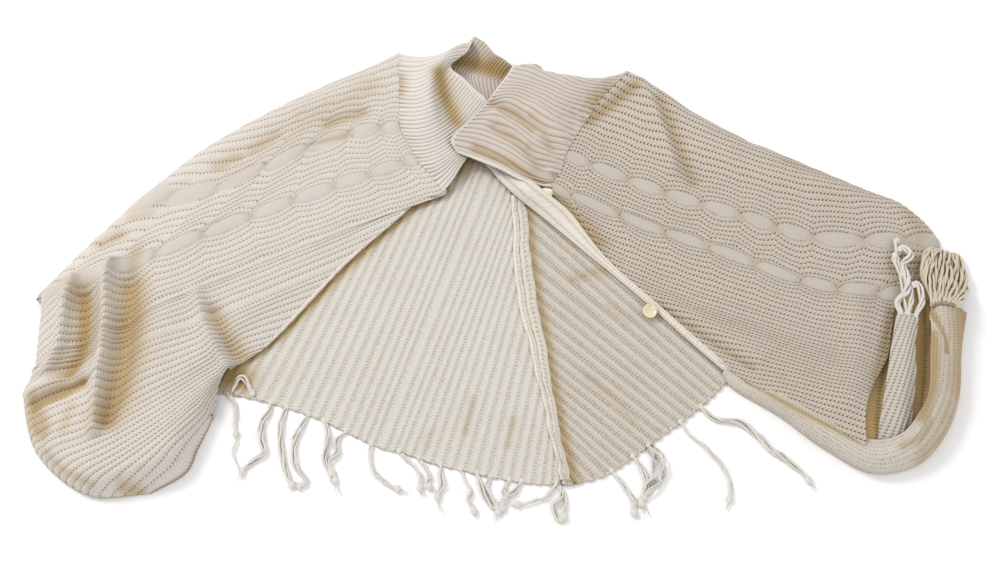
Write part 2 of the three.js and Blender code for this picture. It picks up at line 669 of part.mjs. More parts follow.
const fringeRight = [
  [[150, -293], [161, -304], [169, -322], [176, -338]],
  [[174, -278], [188, -290], [189, -307], [179, -335]],
  [[204, -247], [215, -269], [200, -304], [191, -349]],
  [[243, -221], [251, -234], [290, -269], [291, -339]],
  [[273, -201], [316, -214], [344, -250], [406, -315]],
];
const fringeWall = [
  [[585, -60], [590, -23, 34], [593, 11, 26], [610, 52, 21]],
  [[591, -62], [601, -23, 33], [610, 17, 22], [627, 46, 9]],
  [[597, -62], [609, -26, 28], [621, 12, 12], [633, 46, 4]],
  [[604, -63], [619, -28, 26], [634, 10, 10], [642, 40, 3]],
  [[612, -63], [628, -31, 24], [645, 4, 8], [655, 37, 3]],
  [[620, -61], [634, -36, 22], [648, -9, 8], [660, 20, 3]],
];
const fringeTongue = [
  [[543, -73], [546, -43, 34], [555, -11, 28], [565, 18, 22]],
  [[551, -73], [558, -43, 34], [567, -11, 28], [577, 24, 22]],
  [[560, -75], [569, -46, 33], [579, -15, 27], [590, 28, 20]],
];
addPiece('fringe_back_left', fringe(hemOf(backLeft, 13.4, 36.6, 26, 2.4), fringeLeft, 2.6), white);
addPiece('fringe_back_right', fringe(hemOf(backRight, 0.4, 17.8, 20, 2.4), fringeRight, 2.6), white);
const wallPath = [[583, -59.4, 34], [597, -57.6, 39], [618, -57.6, 31], [632, -57.6, 19]];
const tonguePath = [[538, -69.6, 31], [552, -71, 34], [564, -74, 30.5]];
const wallHem = spread(8).map((t) => through(wallPath, t));
const tongueHem = spread(5).map((t) => through(tonguePath, t));
addPiece('fringe_turnup_right', fringe(wallHem, fringeWall, 2.6), white);
addPiece('fringe_turnup_tongue', fringe(tongueHem, fringeTongue, 2.6), white);

// Two pearl buttons with a raised rim and two sewing holes
function button() {
  const half = buttonThickness / 2;
  const profile = [
    [0, -half],
    [buttonRadius * 0.8, -half],
    [buttonRadius, -half * 0.2],
    [buttonRadius * 0.94, half * 0.9],
    [buttonRadius * 0.78, half],
    [buttonRadius * 0.6, half * 0.4],
    [0, half * 0.4],
  ];
  const outline = profile.map(([r, z]) => new THREE.Vector2(r, z));
  const disc = new THREE.LatheGeometry(outline, 20).rotateX(Math.PI / 2);
  let solid = toSolid(disc);
  [-2.2, 2.2].forEach((x) => {
    const hole = new THREE.CylinderGeometry(0.9, 0.9, 8, 10).rotateX(Math.PI / 2).translate(x, 0, 0);
    solid = solid.subtract(toSolid(hole));
  });
  return fromSolid(solid);
}
addPiece('button_upper', button().rotateX(-0.2).translate(66, 134, 21.8), pearl);
addPiece('button_lower', button().rotateX(0.25).translate(206, -54, 13.3), pearl);

// Centre the whole over the origin, resting on the floor
const box = new THREE.Box3().setFromObject(group);
group.position.set(-(box.min.x + box.max.x) / 2, -(box.min.y + box.max.y) / 2, -box.min.z);
group.updateMatrixWorld(true);

export default group;
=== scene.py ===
import json
import math

import bpy
import numpy as np
from mathutils import Vector
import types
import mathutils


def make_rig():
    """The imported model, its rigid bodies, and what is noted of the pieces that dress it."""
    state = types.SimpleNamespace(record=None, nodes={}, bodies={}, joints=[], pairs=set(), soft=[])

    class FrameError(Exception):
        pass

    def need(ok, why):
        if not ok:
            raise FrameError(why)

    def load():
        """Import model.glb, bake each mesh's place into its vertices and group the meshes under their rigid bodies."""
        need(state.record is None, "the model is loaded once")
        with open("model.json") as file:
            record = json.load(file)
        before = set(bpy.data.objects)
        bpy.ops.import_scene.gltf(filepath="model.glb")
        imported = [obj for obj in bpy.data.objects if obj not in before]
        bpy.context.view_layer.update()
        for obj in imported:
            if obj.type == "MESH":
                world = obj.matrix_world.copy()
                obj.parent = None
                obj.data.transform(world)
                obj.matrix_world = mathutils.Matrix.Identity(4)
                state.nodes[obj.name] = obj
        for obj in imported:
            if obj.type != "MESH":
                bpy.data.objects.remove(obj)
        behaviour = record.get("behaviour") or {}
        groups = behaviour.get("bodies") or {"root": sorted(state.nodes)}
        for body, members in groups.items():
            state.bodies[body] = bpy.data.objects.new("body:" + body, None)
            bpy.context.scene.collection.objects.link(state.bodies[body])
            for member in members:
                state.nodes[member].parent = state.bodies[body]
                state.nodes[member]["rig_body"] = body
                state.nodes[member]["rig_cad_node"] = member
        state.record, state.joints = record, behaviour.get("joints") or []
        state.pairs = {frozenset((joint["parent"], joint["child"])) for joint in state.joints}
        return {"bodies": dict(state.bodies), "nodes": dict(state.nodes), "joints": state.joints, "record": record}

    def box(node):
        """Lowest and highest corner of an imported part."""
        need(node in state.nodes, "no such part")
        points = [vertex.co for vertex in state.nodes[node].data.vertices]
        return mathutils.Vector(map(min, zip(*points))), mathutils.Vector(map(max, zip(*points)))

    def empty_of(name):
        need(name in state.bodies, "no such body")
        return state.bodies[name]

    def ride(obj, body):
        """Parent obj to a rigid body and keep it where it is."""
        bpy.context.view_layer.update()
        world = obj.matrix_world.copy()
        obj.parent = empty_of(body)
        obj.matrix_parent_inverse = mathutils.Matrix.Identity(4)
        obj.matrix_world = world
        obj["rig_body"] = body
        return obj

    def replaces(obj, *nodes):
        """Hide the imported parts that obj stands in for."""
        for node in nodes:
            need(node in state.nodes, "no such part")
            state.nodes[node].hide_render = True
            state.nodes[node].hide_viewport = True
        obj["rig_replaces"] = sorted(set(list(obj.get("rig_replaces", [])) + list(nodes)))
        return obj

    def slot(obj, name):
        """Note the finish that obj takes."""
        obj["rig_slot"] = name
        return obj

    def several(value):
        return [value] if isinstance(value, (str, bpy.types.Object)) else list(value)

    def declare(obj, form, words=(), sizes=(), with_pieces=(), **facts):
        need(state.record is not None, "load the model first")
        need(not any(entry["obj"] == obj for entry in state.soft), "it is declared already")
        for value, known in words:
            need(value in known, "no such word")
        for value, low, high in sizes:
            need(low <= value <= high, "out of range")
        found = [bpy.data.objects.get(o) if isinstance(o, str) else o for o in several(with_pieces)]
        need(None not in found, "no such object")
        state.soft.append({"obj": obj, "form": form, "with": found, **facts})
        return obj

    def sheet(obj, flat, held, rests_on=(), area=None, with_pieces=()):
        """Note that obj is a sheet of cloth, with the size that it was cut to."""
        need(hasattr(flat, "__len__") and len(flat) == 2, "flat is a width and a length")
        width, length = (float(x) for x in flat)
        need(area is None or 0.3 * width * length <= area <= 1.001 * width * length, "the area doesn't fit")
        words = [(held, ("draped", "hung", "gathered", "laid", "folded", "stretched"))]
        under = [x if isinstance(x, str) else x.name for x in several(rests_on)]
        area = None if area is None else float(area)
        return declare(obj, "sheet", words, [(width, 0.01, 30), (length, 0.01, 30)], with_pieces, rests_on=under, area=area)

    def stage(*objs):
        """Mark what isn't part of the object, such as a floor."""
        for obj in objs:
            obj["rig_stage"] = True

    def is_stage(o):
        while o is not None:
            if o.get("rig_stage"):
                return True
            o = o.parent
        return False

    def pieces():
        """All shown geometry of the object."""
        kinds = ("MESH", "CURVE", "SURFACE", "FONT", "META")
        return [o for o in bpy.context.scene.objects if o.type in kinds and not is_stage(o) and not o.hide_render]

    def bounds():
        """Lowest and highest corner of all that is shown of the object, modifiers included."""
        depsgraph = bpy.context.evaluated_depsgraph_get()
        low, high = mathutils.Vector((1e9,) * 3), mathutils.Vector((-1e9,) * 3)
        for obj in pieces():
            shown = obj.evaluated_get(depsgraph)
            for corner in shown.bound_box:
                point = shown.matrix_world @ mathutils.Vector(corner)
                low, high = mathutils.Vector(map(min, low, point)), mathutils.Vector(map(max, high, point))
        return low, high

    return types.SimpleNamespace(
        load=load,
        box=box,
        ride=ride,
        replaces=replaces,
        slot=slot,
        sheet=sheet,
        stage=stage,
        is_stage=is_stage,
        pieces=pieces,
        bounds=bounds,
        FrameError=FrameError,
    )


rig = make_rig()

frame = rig.load()
cadLow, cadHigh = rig.bounds()

# The tables below are in millimetres, before the garment is centred over the origin: the lower
# button says how far the solids were moved for that.
lowerButton = {"place": [206, -54, 13.3], "tilt": 0.25}
low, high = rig.box("button_lower")
shift = np.array([(low.x + high.x) * 500, (low.y + high.y) * 500, 0]) - [*lowerButton["place"][:2], 0]
print("stage: frame loaded, shift", shift.round(2))


# Rows of the tables. The dark of a fold and of a shadow row is painted shade along its path
def foldAlong(path, width, rise, dark=0):
    return {"path": path, "width": width, "rise": rise, "dark": dark}


def shadeAlong(path, width, dark):
    return {"path": path, "width": width, "dark": dark}


# Curves and surfaces
def spline(points, t):  # a smooth curve through evenly spaced points
    points = np.asarray(points, float)
    last = len(points) - 1
    t = np.clip(np.asarray(t, float), 0, 1) * last
    i = np.minimum(t.astype(int), last - 1)
    f = (t - i).reshape(t.shape + (1,) * (points.ndim - 1))
    ends = np.concatenate([2 * points[:1] - points[1:2], points, 2 * points[-1:] - points[-2:-1]])
    a, b, c, d = (ends[i + k] for k in range(4))
    return b + 0.5 * f * (c - a + f * (2 * a - 5 * b + 4 * c - d + f * (3 * (b - c) + d - a)))


def ribStarts(rows):  # a row is the number of ribs up to the next one, and its points
    return np.concatenate([[0], np.cumsum([count for count, _ in rows[:-1]])])


def wales(rows, us, ribs):
    table = np.array([points for _, points in rows], float)
    along = spline(table.transpose(1, 0, 2), us)
    place = np.interp(ribs, ribStarts(rows), np.arange(len(rows))) / (len(rows) - 1)
    return spline(along.transpose(1, 0, 2), place).transpose(1, 0, 2)


def away(path, p):  # distance from a path, seen from above
    best = np.full(p.shape[:-1], 1e9)
    path = np.asarray(path, float)[:, :2]
    for a, b in zip(path[:-1], path[1:]):
        d = b - a
        t = np.clip(((p[..., :2] - a) @ d) / max(d @ d, 1e-9), 0, 1)
        best = np.minimum(best, np.linalg.norm(p[..., :2] - a - t[..., None] * d, axis=-1))
    return best


def ridge(row, p, share=1):  # 1 along the row's path, falling to 0 beyond its width
    return np.exp(-(away(row["path"], p) / (row["width"] * share)) ** 2)


def layOut(piece, us, ribs, sewn=True):
    rows = piece["rows"]
    p = wales(rows, us, ribs)
    total = ribStarts(rows)[-1]
    for fold in piece.get("folds", []):
        p[..., 2] += fold["rise"] * ridge(fold, p)
    for u0, r0, u1, r1 in piece.get("rounded", []):  # edges that curve down to the floor
        t = np.linspace(0, 1, 61)
        rim = np.array([wales(rows, [u0 + (u1 - u0) * s], [(r0 + (r1 - r0) * s) * total])[0, 0] for s in t])
        near = np.clip(away(rim, p) / (piece.get("radius", 24) + 10 * np.asarray(us)[:, None]), 0, 1)
        p[..., 2] *= np.sqrt(1 - (1 - near) ** 2)
    if sewn and "sewnTo" in piece:  # the seam's edge is drawn onto the piece that it joins
        host = piece["sewnTo"]
        edge = layOut(host, [0.012], np.linspace(0, ribStarts(host["rows"])[-1], 300))[0]
        own = layOut(piece, [0], ribs, sewn=False)[0]
        nearest = np.argmin(np.linalg.norm(own[:, None, :2] - edge[None, :, :2], axis=-1), axis=1)
        p += (edge[nearest] + [0, 0, 0.6] - own)[None] * (1 - np.asarray(us))[:, None, None] ** 3
    return p


def normalsOf(p):
    n = np.cross(np.gradient(p, axis=0), np.gradient(p, axis=1))
    n /= np.maximum(np.linalg.norm(n, axis=-1, keepdims=True), 1e-9)
    return (n, False) if n[..., 2].mean() > 0 else (-n, True)


def smoothStep(x, a, b):
    t = np.clip((x - a) / (b - a), 0, 1)
    return t * t * (3 - 2 * t)


# Meshes
def show(thing):
    bpy.context.scene.collection.objects.link(thing)
    return thing


def addMesh(name, points, faces, material, values=None, uvs=None):
    mesh = bpy.data.meshes.new(name)
    mesh.from_pydata(((points + shift) * 0.001).tolist(), [], faces)
    mesh.polygons.foreach_set("use_smooth", [True] * len(mesh.polygons))
    for key, value in (values or {}).items():
        value = np.ascontiguousarray(value, np.float32).ravel()
        mesh.attributes.new(key, "FLOAT", "POINT").data.foreach_set("value", value)
    if uvs is not None:
        index = np.zeros(len(mesh.loops), np.int32)
        mesh.loops.foreach_get("vertex_index", index)
        uvs = uvs.reshape(-1, 2)[index].astype(np.float32).ravel()
        mesh.uv_layers.new(name="knit").data.foreach_set("uv", uvs)
    mesh.materials.append(material)
    mesh.update()
    return show(bpy.data.objects.new(name, mesh))


# The shade value is painted shade, even over the whole piece
def evenShade(count, shade=0):  # the values that the knit's look reads, the same all over
    return {"shade": np.full(count, shade), "oval": np.zeros(count)}


def gridFaces(rows, columns, flip):
    i, j = np.meshgrid(np.arange(rows - 1), np.arange(columns - 1), indexing="ij")
    a = (i * columns + j).ravel()
    quads = np.stack([a, a + columns, a + columns + 1, a + 1], 1)
    return (quads[:, ::-1] if flip else quads).tolist()


def finishPiece(piece, nodes, slot, sheet=None):
    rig.ride(piece, "root")
    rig.replaces(piece, *nodes)
    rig.slot(piece, slot)
    if sheet:
        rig.sheet(piece, **sheet)


# Lengthwise rows of ovals: the knit is drawn together at each pinch, and the ribs beside a row
# bend round it. Each pinch is darkened with painted shade
ovalShape = {"waist": 0.1, "belly": 1.12, "dip": 1.6, "dipLength": 8, "dipWidth": 1.3, "bendWidth": 3.2}


def pinchedOvals(piece, us, ribField):
    oval, lift, gathered = (np.zeros(ribField.shape) for _ in range(3))
    for row in piece.get("ovals", []):
        d = ribField - ribStarts(piece["rows"])[row["row"]]
        pinches = np.array(row["pinches"])
        k = np.clip(np.searchsorted(pinches, us) - 1, 0, len(pinches) - 2)
        phase = np.clip((us - pinches[k]) / (pinches[k + 1] - pinches[k]), 0, 1)
        inside = ((us >= pinches[0]) & (us <= pinches[-1])).astype(float)[:, None]
        arch = np.sin(np.pi * phase)[:, None]
        width = (ovalShape["waist"] + ovalShape["belly"] * arch ** 0.6) * inside + 1e-3
        mask = (1 - smoothStep(np.abs(d) / width, 0.8, 1.02)) * inside
        lift += mask * row["height"] * np.sqrt(np.clip(1 - (d / width) ** 2, 0, 1)) * arch ** 0.5
        dips = np.exp(-((us[:, None] - pinches[None]) * row["length"] / ovalShape["dipLength"]) ** 2)
        dips = dips.sum(1)[:, None] * np.exp(-(d / ovalShape["dipWidth"]) ** 2)
        calm = row.get("calm", 2)  # from here on along the rib the row lies flat
        rough = 1 - smoothStep(us, calm, calm + 0.15)[:, None]
        lift -= ovalShape["dip"] * dips * rough
        # painted shade in the dip at each pinch
        gathered = np.maximum(gathered, 0.3 * dips)
        oval = np.maximum(oval, mask)
        outside = np.clip(np.abs(d) - width, 0, None)
        bend = width * np.exp(-outside / ovalShape["bendWidth"]) * (np.abs(d) > width) * rough
        ribField = ribField - np.sign(d) * bend
    return oval, lift, gathered, ribField


def knitPattern(piece, base, us, ribs, ribField):  # ribs across and courses along, in stitches
    heading = base[-1, len(ribs) // 2] - base[0, len(ribs) // 2]
    heading /= np.linalg.norm(heading)
    if "lengthwise" in piece:
        pattern = np.broadcast_to(us[:, None], base.shape[:2]) * piece["lengthwise"]
        along = np.linalg.norm(np.diff(base[len(us) // 2], axis=0), axis=-1)
        course = np.concatenate([[0], np.cumsum(along)]) / piece["stitch"]
        return pattern, np.broadcast_to(course, base.shape[:2])
    steps = np.linalg.norm(np.diff(base, axis=0), axis=-1)
    course = np.concatenate([np.zeros((1, len(ribs))), np.cumsum(steps, 0)])
    return ribField * piece.get("ribScale", 1), (course + base[0] @ heading) / piece["stitch"]


def pad(a):  # two more rows and columns all round, for the cloth's edge
    return np.pad(a, [(2, 2), (2, 2)] + [(0, 0)] * (a.ndim - 2), mode="edge")


def turnedEdges(piece, p, n):  # the outer rows go down the cloth's thickness and back under it
    shell = pad(p)
    tuck = np.pad(p[2:-2, 2:-2], [(4, 4), (4, 4), (0, 0)], mode="edge")
    border, ring = (np.ones(shell.shape[:2] + (1,), int) for _ in range(2))
    border[2:-2, 2:-2] = 0
    ring[1:-1, 1:-1] = 0
    shell = shell - pad(n) * piece.get("thickness", 2.6) * border + (tuck - shell) * ring
    shell[..., 2] = np.maximum(shell[..., 2], 0.3)
    return shell


def cloth(piece):
    us = np.linspace(0, 1, piece["steps"] + 1)
    total = ribStarts(piece["rows"])[-1]
    ribs = np.linspace(0, total, int(total * piece["perRib"]) + 1)
    base = layOut(piece, us, ribs)
    ribField = np.broadcast_to(ribs, base.shape[:2]).copy()
    if "drift" in piece:  # wales that run off sideways: the rib that each row ends on
        place = np.interp(ribs, ribStarts(piece["rows"]), np.arange(len(piece["rows"])))
        ends = np.interp(place, np.arange(len(piece["rows"])), piece["drift"])
        ribField += (ends - ribs)[None] * us[:, None]
    if "scallop" in piece:  # the cast-off edge reaches out at each rib
        crest = 1 - 2 * (np.abs(ribField * piece.get("ribScale", 1) % 1 - 0.5) * 2) ** 2
        out = base[-1:] - base[-4:-3]
        out /= np.maximum(np.linalg.norm(out, axis=-1, keepdims=True), 1e-9)
        base = base + out * (piece["scallop"] * crest * smoothStep(us, 0.975, 1)[:, None])[..., None]
    n, flip = normalsOf(base)
    x, y = base[..., 0], base[..., 1]
    wave = np.sin(x / 31 + 1.7) * np.sin(y / 27 + x / 90) + 0.6 * np.sin(x / 13 - y / 17)
    wave = wave * piece.get("uneven", 0.5) * smoothStep(base[..., 2], 2, 12)
    base = base + n * wave[..., None]
    oval, lift, shade, ribField = pinchedOvals(piece, us, ribField)
    pattern, course = knitPattern(piece, base, us, ribs, ribField)
    c = np.abs(pattern % 1 - 0.5) * 2
    fade = smoothStep(base[..., 2], 0.5, 5) if piece.get("fade", True) else 1
    if "lip" in piece:  # a plain rolled rim
        lip = smoothStep(us, 0.965, 0.985)[:, None] + smoothStep(ribs, total - 0.9, total - 0.4)[None]
        oval = np.maximum(oval, np.clip(lip, 0, 1))
        lift += piece["lip"] * np.clip(lip, 0, 1)
    lift += piece["ribHeight"] * (1 - 2 * c ** 2) * (1 - oval) * fade
    # Painted shade: the shadow rows and the folds' dark darken the knit's colour along their paths, through the shade
    # attribute
    for row in piece.get("shadows", []):
        shade = np.maximum(shade, row["dark"] * ridge(row, base))
    for row in piece.get("folds", []):
        shade = np.maximum(shade, row["dark"] * ridge(row, base, 0.9))
    shell = turnedEdges(piece, base + n * lift[..., None], n)
    faces = gridFaces(*shell.shape[:2], flip)
    values = {"shade": pad(shade), "oval": pad(oval)}
    uvs = pad(np.stack([pattern, course], -1))
    made = addMesh(piece["name"], shell.reshape(-1, 3), faces, piece["material"], values, uvs)
    finishPiece(made, piece["nodes"], piece["slot"], piece["sheet"])
    area = np.linalg.norm(np.cross(np.gradient(base, axis=0), np.gradient(base, axis=1)), axis=-1).sum()
    print("stage:", piece["name"], len(faces) * 2, "triangles, area", round(float(area) * 1e-6, 4))


# Looks: how strong each part of the knit's pattern is, the colours that it goes between, and the painted shade: its
# tint and how strongly corners and creases are darkened
usualLook = {
    "base": (0.66, 0.61, 0.55, 1), "deep": (0.26, 0.18, 0.105, 1), "shadow": (0.64, 0.465, 0.19, 1),
    "slant": 0.5, "lineSharp": 3, "dots": 0.0, "dotFrom": 0.7, "groove": 0.1, "line": 0.1, "side": 0,
    "purl": 0.12, "crest": (0.3, 0.6), "grain": 900, "fleck": 0.14, "bump": 0.4, "bumpGroove": 0.5,
    "warm": 0.8, "reach": 0.03,
}


def knitMaterial(name, **own):
    look = {**usualLook, **own}
    material = bpy.data.materials.new(name)
    material.use_nodes = True
    nodes, links = material.node_tree.nodes, material.node_tree.links
    shader = nodes["Principled BSDF"]

    def put(socket, value):
        if isinstance(value, (int, float, tuple)):
            socket.default_value = value
        else:
            links.new(value, socket)

    def calc(operation, a, b=None):
        node = nodes.new("ShaderNodeMath")
        node.operation = operation
        put(node.inputs[0], a)
        if b is not None:
            put(node.inputs[1], b)
        return node.outputs[0]

    def ease(value, start, end):
        node = nodes.new("ShaderNodeMapRange")
        node.interpolation_type = "SMOOTHSTEP"
        put(node.inputs["Value"], value)
        node.inputs["From Min"].default_value = start
        node.inputs["From Max"].default_value = end
        return node.outputs["Result"]

    def mix(factor, a, b, blend="MIX"):
        node = nodes.new("ShaderNodeMix")
        node.data_type = "RGBA"
        node.blend_type = blend
        put(node.inputs["Factor"], factor)
        put(node.inputs[6], a)
        put(node.inputs[7], b)
        return node.outputs[2]

    uv = nodes.new("ShaderNodeUVMap")
    uv.uv_map = "knit"
    parts = nodes.new("ShaderNodeSeparateXYZ")
    links.new(uv.outputs[0], parts.inputs[0])
    rib, course = parts.outputs[0], parts.outputs[1]
    coords = nodes.new("ShaderNodeTexCoord")

    def noise(scale, detail):
        node = nodes.new("ShaderNodeTexNoise")
        links.new(coords.outputs["Object"], node.inputs["Vector"])
        node.inputs["Scale"].default_value = scale
        node.inputs["Detail"].default_value = detail
        return node.outputs["Fac"]

    def field(name):
        node = nodes.new("ShaderNodeAttribute")
        node.attribute_name = name
        return node.outputs["Fac"]

    def peak(value):  # 0 in the middle of each whole step, 1 at its ends
        return calc("MULTIPLY", calc("ABSOLUTE", calc("SUBTRACT", calc("FRACT", value), 0.5)), 2)

    wobble = calc("MULTIPLY", calc("SUBTRACT", noise(160, 2), 0.5), 0.3)
    c = peak(rib)
    beat = peak(calc("ADD", calc("ADD", course, wobble), calc("MULTIPLY", c, look["slant"])))
    groove = calc("POWER", beat, 2.5)
    dots = calc("MULTIPLY", ease(c, look["dotFrom"], 0.95), ease(beat, 0.4, 0.85))
    line = calc("POWER", c, look["lineSharp"])
    side = ease(calc("ABSOLUTE", calc("SUBTRACT", calc("FRACT", rib), 0.76)), 0.09, 0.0)
    purl = calc("ADD", ease(c, *look["crest"]), 0.35)
    purl = calc("MULTIPLY", purl, ease(noise(look["grain"], 1), 0.45, 0.7))
    plain = calc("SUBTRACT", 1, field("oval"))
    dark = calc("MULTIPLY", dots, look["dots"])
    for part, share in ((groove, "groove"), (line, "line"), (side, "side"), (purl, "purl")):
        dark = calc("ADD", dark, calc("MULTIPLY", part, look[share]))
    dark = calc("MULTIPLY", dark, plain)
    streaks = calc("ADD", calc("MULTIPLY", peak(calc("MULTIPLY", course, 2.6)), 0.3), 0.1)
    dark = calc("ADD", dark, calc("MULTIPLY", field("oval"), streaks))
    for scale, detail, share in ((14, 3, 0.16), (1100, 1, look["fleck"])):
        dark = calc("ADD", dark, calc("MULTIPLY", calc("SUBTRACT", noise(scale, detail), 0.5), share))
    base = mix(field("oval"), look["base"], look.get("smooth", look["base"]))
    tone = mix(calc("MAXIMUM", calc("MINIMUM", dark, 1), 0), base, look["deep"])
    # Painted shade: the colour is tinted darker ochre in corners and creases found by ambient occlusion, and wherever
    # the shade attribute says
    corner = nodes.new("ShaderNodeAmbientOcclusion")
    corner.samples = 6
    corner.inputs["Distance"].default_value = look["reach"]
    creaseShade = calc("MULTIPLY", ease(corner.outputs["AO"], 0.8, 0.15), look["warm"])
    shadow = calc("MINIMUM", calc("ADD", calc("MULTIPLY", field("shade"), 0.95), creaseShade), 1)
    tone = mix(1, tone, mix(shadow, (1, 1, 1, 1), look["shadow"]), "MULTIPLY")
    links.new(tone, shader.inputs["Base Color"])
    dents = calc("ADD", calc("MULTIPLY", dots, 0.7), calc("MULTIPLY", groove, look["bumpGroove"]))
    height = calc("MULTIPLY", calc("SUBTRACT", 1, dents), plain)
    height = calc("ADD", height, calc("MULTIPLY", noise(900, 2), 0.35))
    bump = nodes.new("ShaderNodeBump")
    bump.inputs["Strength"].default_value = look["bump"]
    bump.inputs["Distance"].default_value = 0.0014
    links.new(height, bump.inputs["Height"])
    links.new(bump.outputs["Normal"], shader.inputs["Normal"])
    shader.inputs["Roughness"].default_value = 0.95
    shader.inputs["Specular IOR Level"].default_value = 0.12
    shader.inputs["Sheen Weight"].default_value = 0.25
    shader.inputs["Sheen Roughness"].default_value = 0.6
    return material


leftLook = knitMaterial("leftKnit", smooth=(0.68, 0.64, 0.59, 1), slant=0.65, lineSharp=5, dots=0.55,
    dotFrom=0.74, groove=0.12, line=0.12, bump=0.7, fleck=0.3)
# Darker base than the left front: painted shade, as the right front lies further from the light
rightLook = knitMaterial("rightKnit", base=(0.59, 0.52, 0.44, 1), deep=(0.17, 0.11, 0.06, 1),
    smooth=(0.62, 0.57, 0.515, 1), slant=0.7, lineSharp=5, dots=0.95, dotFrom=0.6, groove=0.24, line=0.14,
    purl=0.2, bump=0.9, fleck=0.35)
backLeftLook = knitMaterial("backLeftKnit", base=(0.66, 0.63, 0.575, 1), lineSharp=4, dots=0.08,
    dotFrom=0.55, groove=0.06, side=0.17, purl=0.34, bump=0.6, bumpGroove=0.3, grain=850, fleck=0.35,
    crest=(0.08, 0.4))
# Darker base than the left back: painted shade, as the right half lies further from the light
backRightLook = knitMaterial("backRightKnit", base=(0.6, 0.555, 0.49, 1), lineSharp=4, dots=0.14,
    dotFrom=0.5, groove=0.08, line=0.14, side=0.34, purl=0.48, bump=0.7, bumpGroove=0.3, grain=850,
    fleck=0.35, crest=(0.08, 0.4))
collarLook = knitMaterial("collarKnit", base=(0.68, 0.64, 0.59, 1), smooth=(0.78, 0.75, 0.7, 1), slant=0.3,
    lineSharp=7, groove=0.04, line=0.5, bumpGroove=0.2)
# Darker base than the collar's left side: painted shade on the lapel and the back collar, which use this look
lapelLook = knitMaterial("lapelKnit", base=(0.6, 0.535, 0.47, 1), smooth=(0.8, 0.77, 0.71, 1), slant=0.3,
    lineSharp=6, groove=0.05, line=0.7, bumpGroove=0.2)
# Ochre base: painted shade in the valley between the tongue and the turned-up wall
valleyLook = knitMaterial("valleyKnit", base=(0.66, 0.47, 0.21, 1), slant=0.0, dots=0.5, purl=0.2,
    bump=0.8, warm=0.4)
# The roll's and the tongue's darker bases are painted shade at the right-hand end, which lies furthest from the light
rollLook = knitMaterial("rollKnit", base=(0.62, 0.57, 0.5, 1), slant=0.0, dots=0.1, line=0.05, purl=0.3,
    bump=0.7, bumpGroove=0.35, grain=420, fleck=0.25)
tongueLook = knitMaterial("tongueKnit", base=(0.575, 0.525, 0.455, 1), slant=0.0, lineSharp=5, dots=0.8,
    dotFrom=0.5, purl=0.0, bump=0.8)
bandLook = knitMaterial("bandKnit", base=(0.76, 0.71, 0.63, 1), slant=0.4, lineSharp=6, dots=0.05,
    groove=0.12, line=0.3, purl=0.25, bump=0.5, bumpGroove=0.3, warm=0.6, reach=0.01, grain=1100)
seamLook = knitMaterial("seamKnit", base=(0.7, 0.65, 0.575, 1), slant=0.4, lineSharp=6, dots=0.3,
    dotFrom=0.6, line=0.2, purl=0.25, bump=0.5, bumpGroove=0.3, warm=0.7, reach=0.01)
yarnLook = knitMaterial("fringeYarn", base=(0.72, 0.69, 0.645, 1), groove=0.0, line=0.0, purl=0.16,
    bumpGroove=0.0, warm=0.35, reach=0.006, grain=1500)
# Darker beige than the other fringe yarn: painted shade on the tassel over the turned-up wall
braidLook = knitMaterial("braidYarn", base=(0.66, 0.59, 0.47, 1), groove=0.0, line=0.0, purl=0.2,
    bumpGroove=0.0, reach=0.012, grain=1500)

# Back, both halves, seen from inside
back = {"slot": "body_knit", "scallop": 1.5, "steps": 150, "perRib": 8, "ribHeight": 0.55, "stitch": 4.6,
        "fade": False, "thickness": 2.4, "uneven": 0}
backLeft = {
    **back, "name": "backLeft", "nodes": ["back_left"], "material": backLeftLook,
    "sheet": {"flat": (0.50, 0.62), "held": "laid", "rests_on": ["floor"], "area": 0.27},
    "shadows": [
        shadeAlong([[-372, -150], [-300, -88], [-214, 22], [-150, 92], [-112, 132], [-76, 150]], 8, 0.9),
        shadeAlong([[-392, -150], [-352, -152]], 26, 1),
        shadeAlong([[-36, -182], [-46, -232]], 6, 0.38),
        shadeAlong([[18, -212], [10, -250]], 6, 0.34),
        shadeAlong([[-92, -232], [-97, -250]], 7, 0.25),
        shadeAlong([[-60, 186], [-38, 222], [0, 240], [30, 215]], 16, 0.8),
    ],
    "rows": [
        (9, [[-540, -10, 3], [-500, -262, 3]]),
        (13, [[-400, 190, 3], [-432, -215, 3]]),
        (8, [[-178, 325, 3], [-384, -174, 3]]),
        (8, [[-92, 290, 3], [-265, -201, 3]]),
        (3, [[-15, 215, 3], [-164, -249, 3]]),
        (3, [[13, 158, 3], [-125, -260, 3]]),
        (3, [[20, 92, 3], [-87, -274, 3]]),
        (3, [[24, -15, 3], [-44, -285, 3]]),
        (3, [[42, -106, 3], [0, -295, 3]]),
        (3, [[61, -201, 3], [43, -302, 3]]),
        (1, [[77, -284, 3], [81, -303, 3]]),
    ],
}
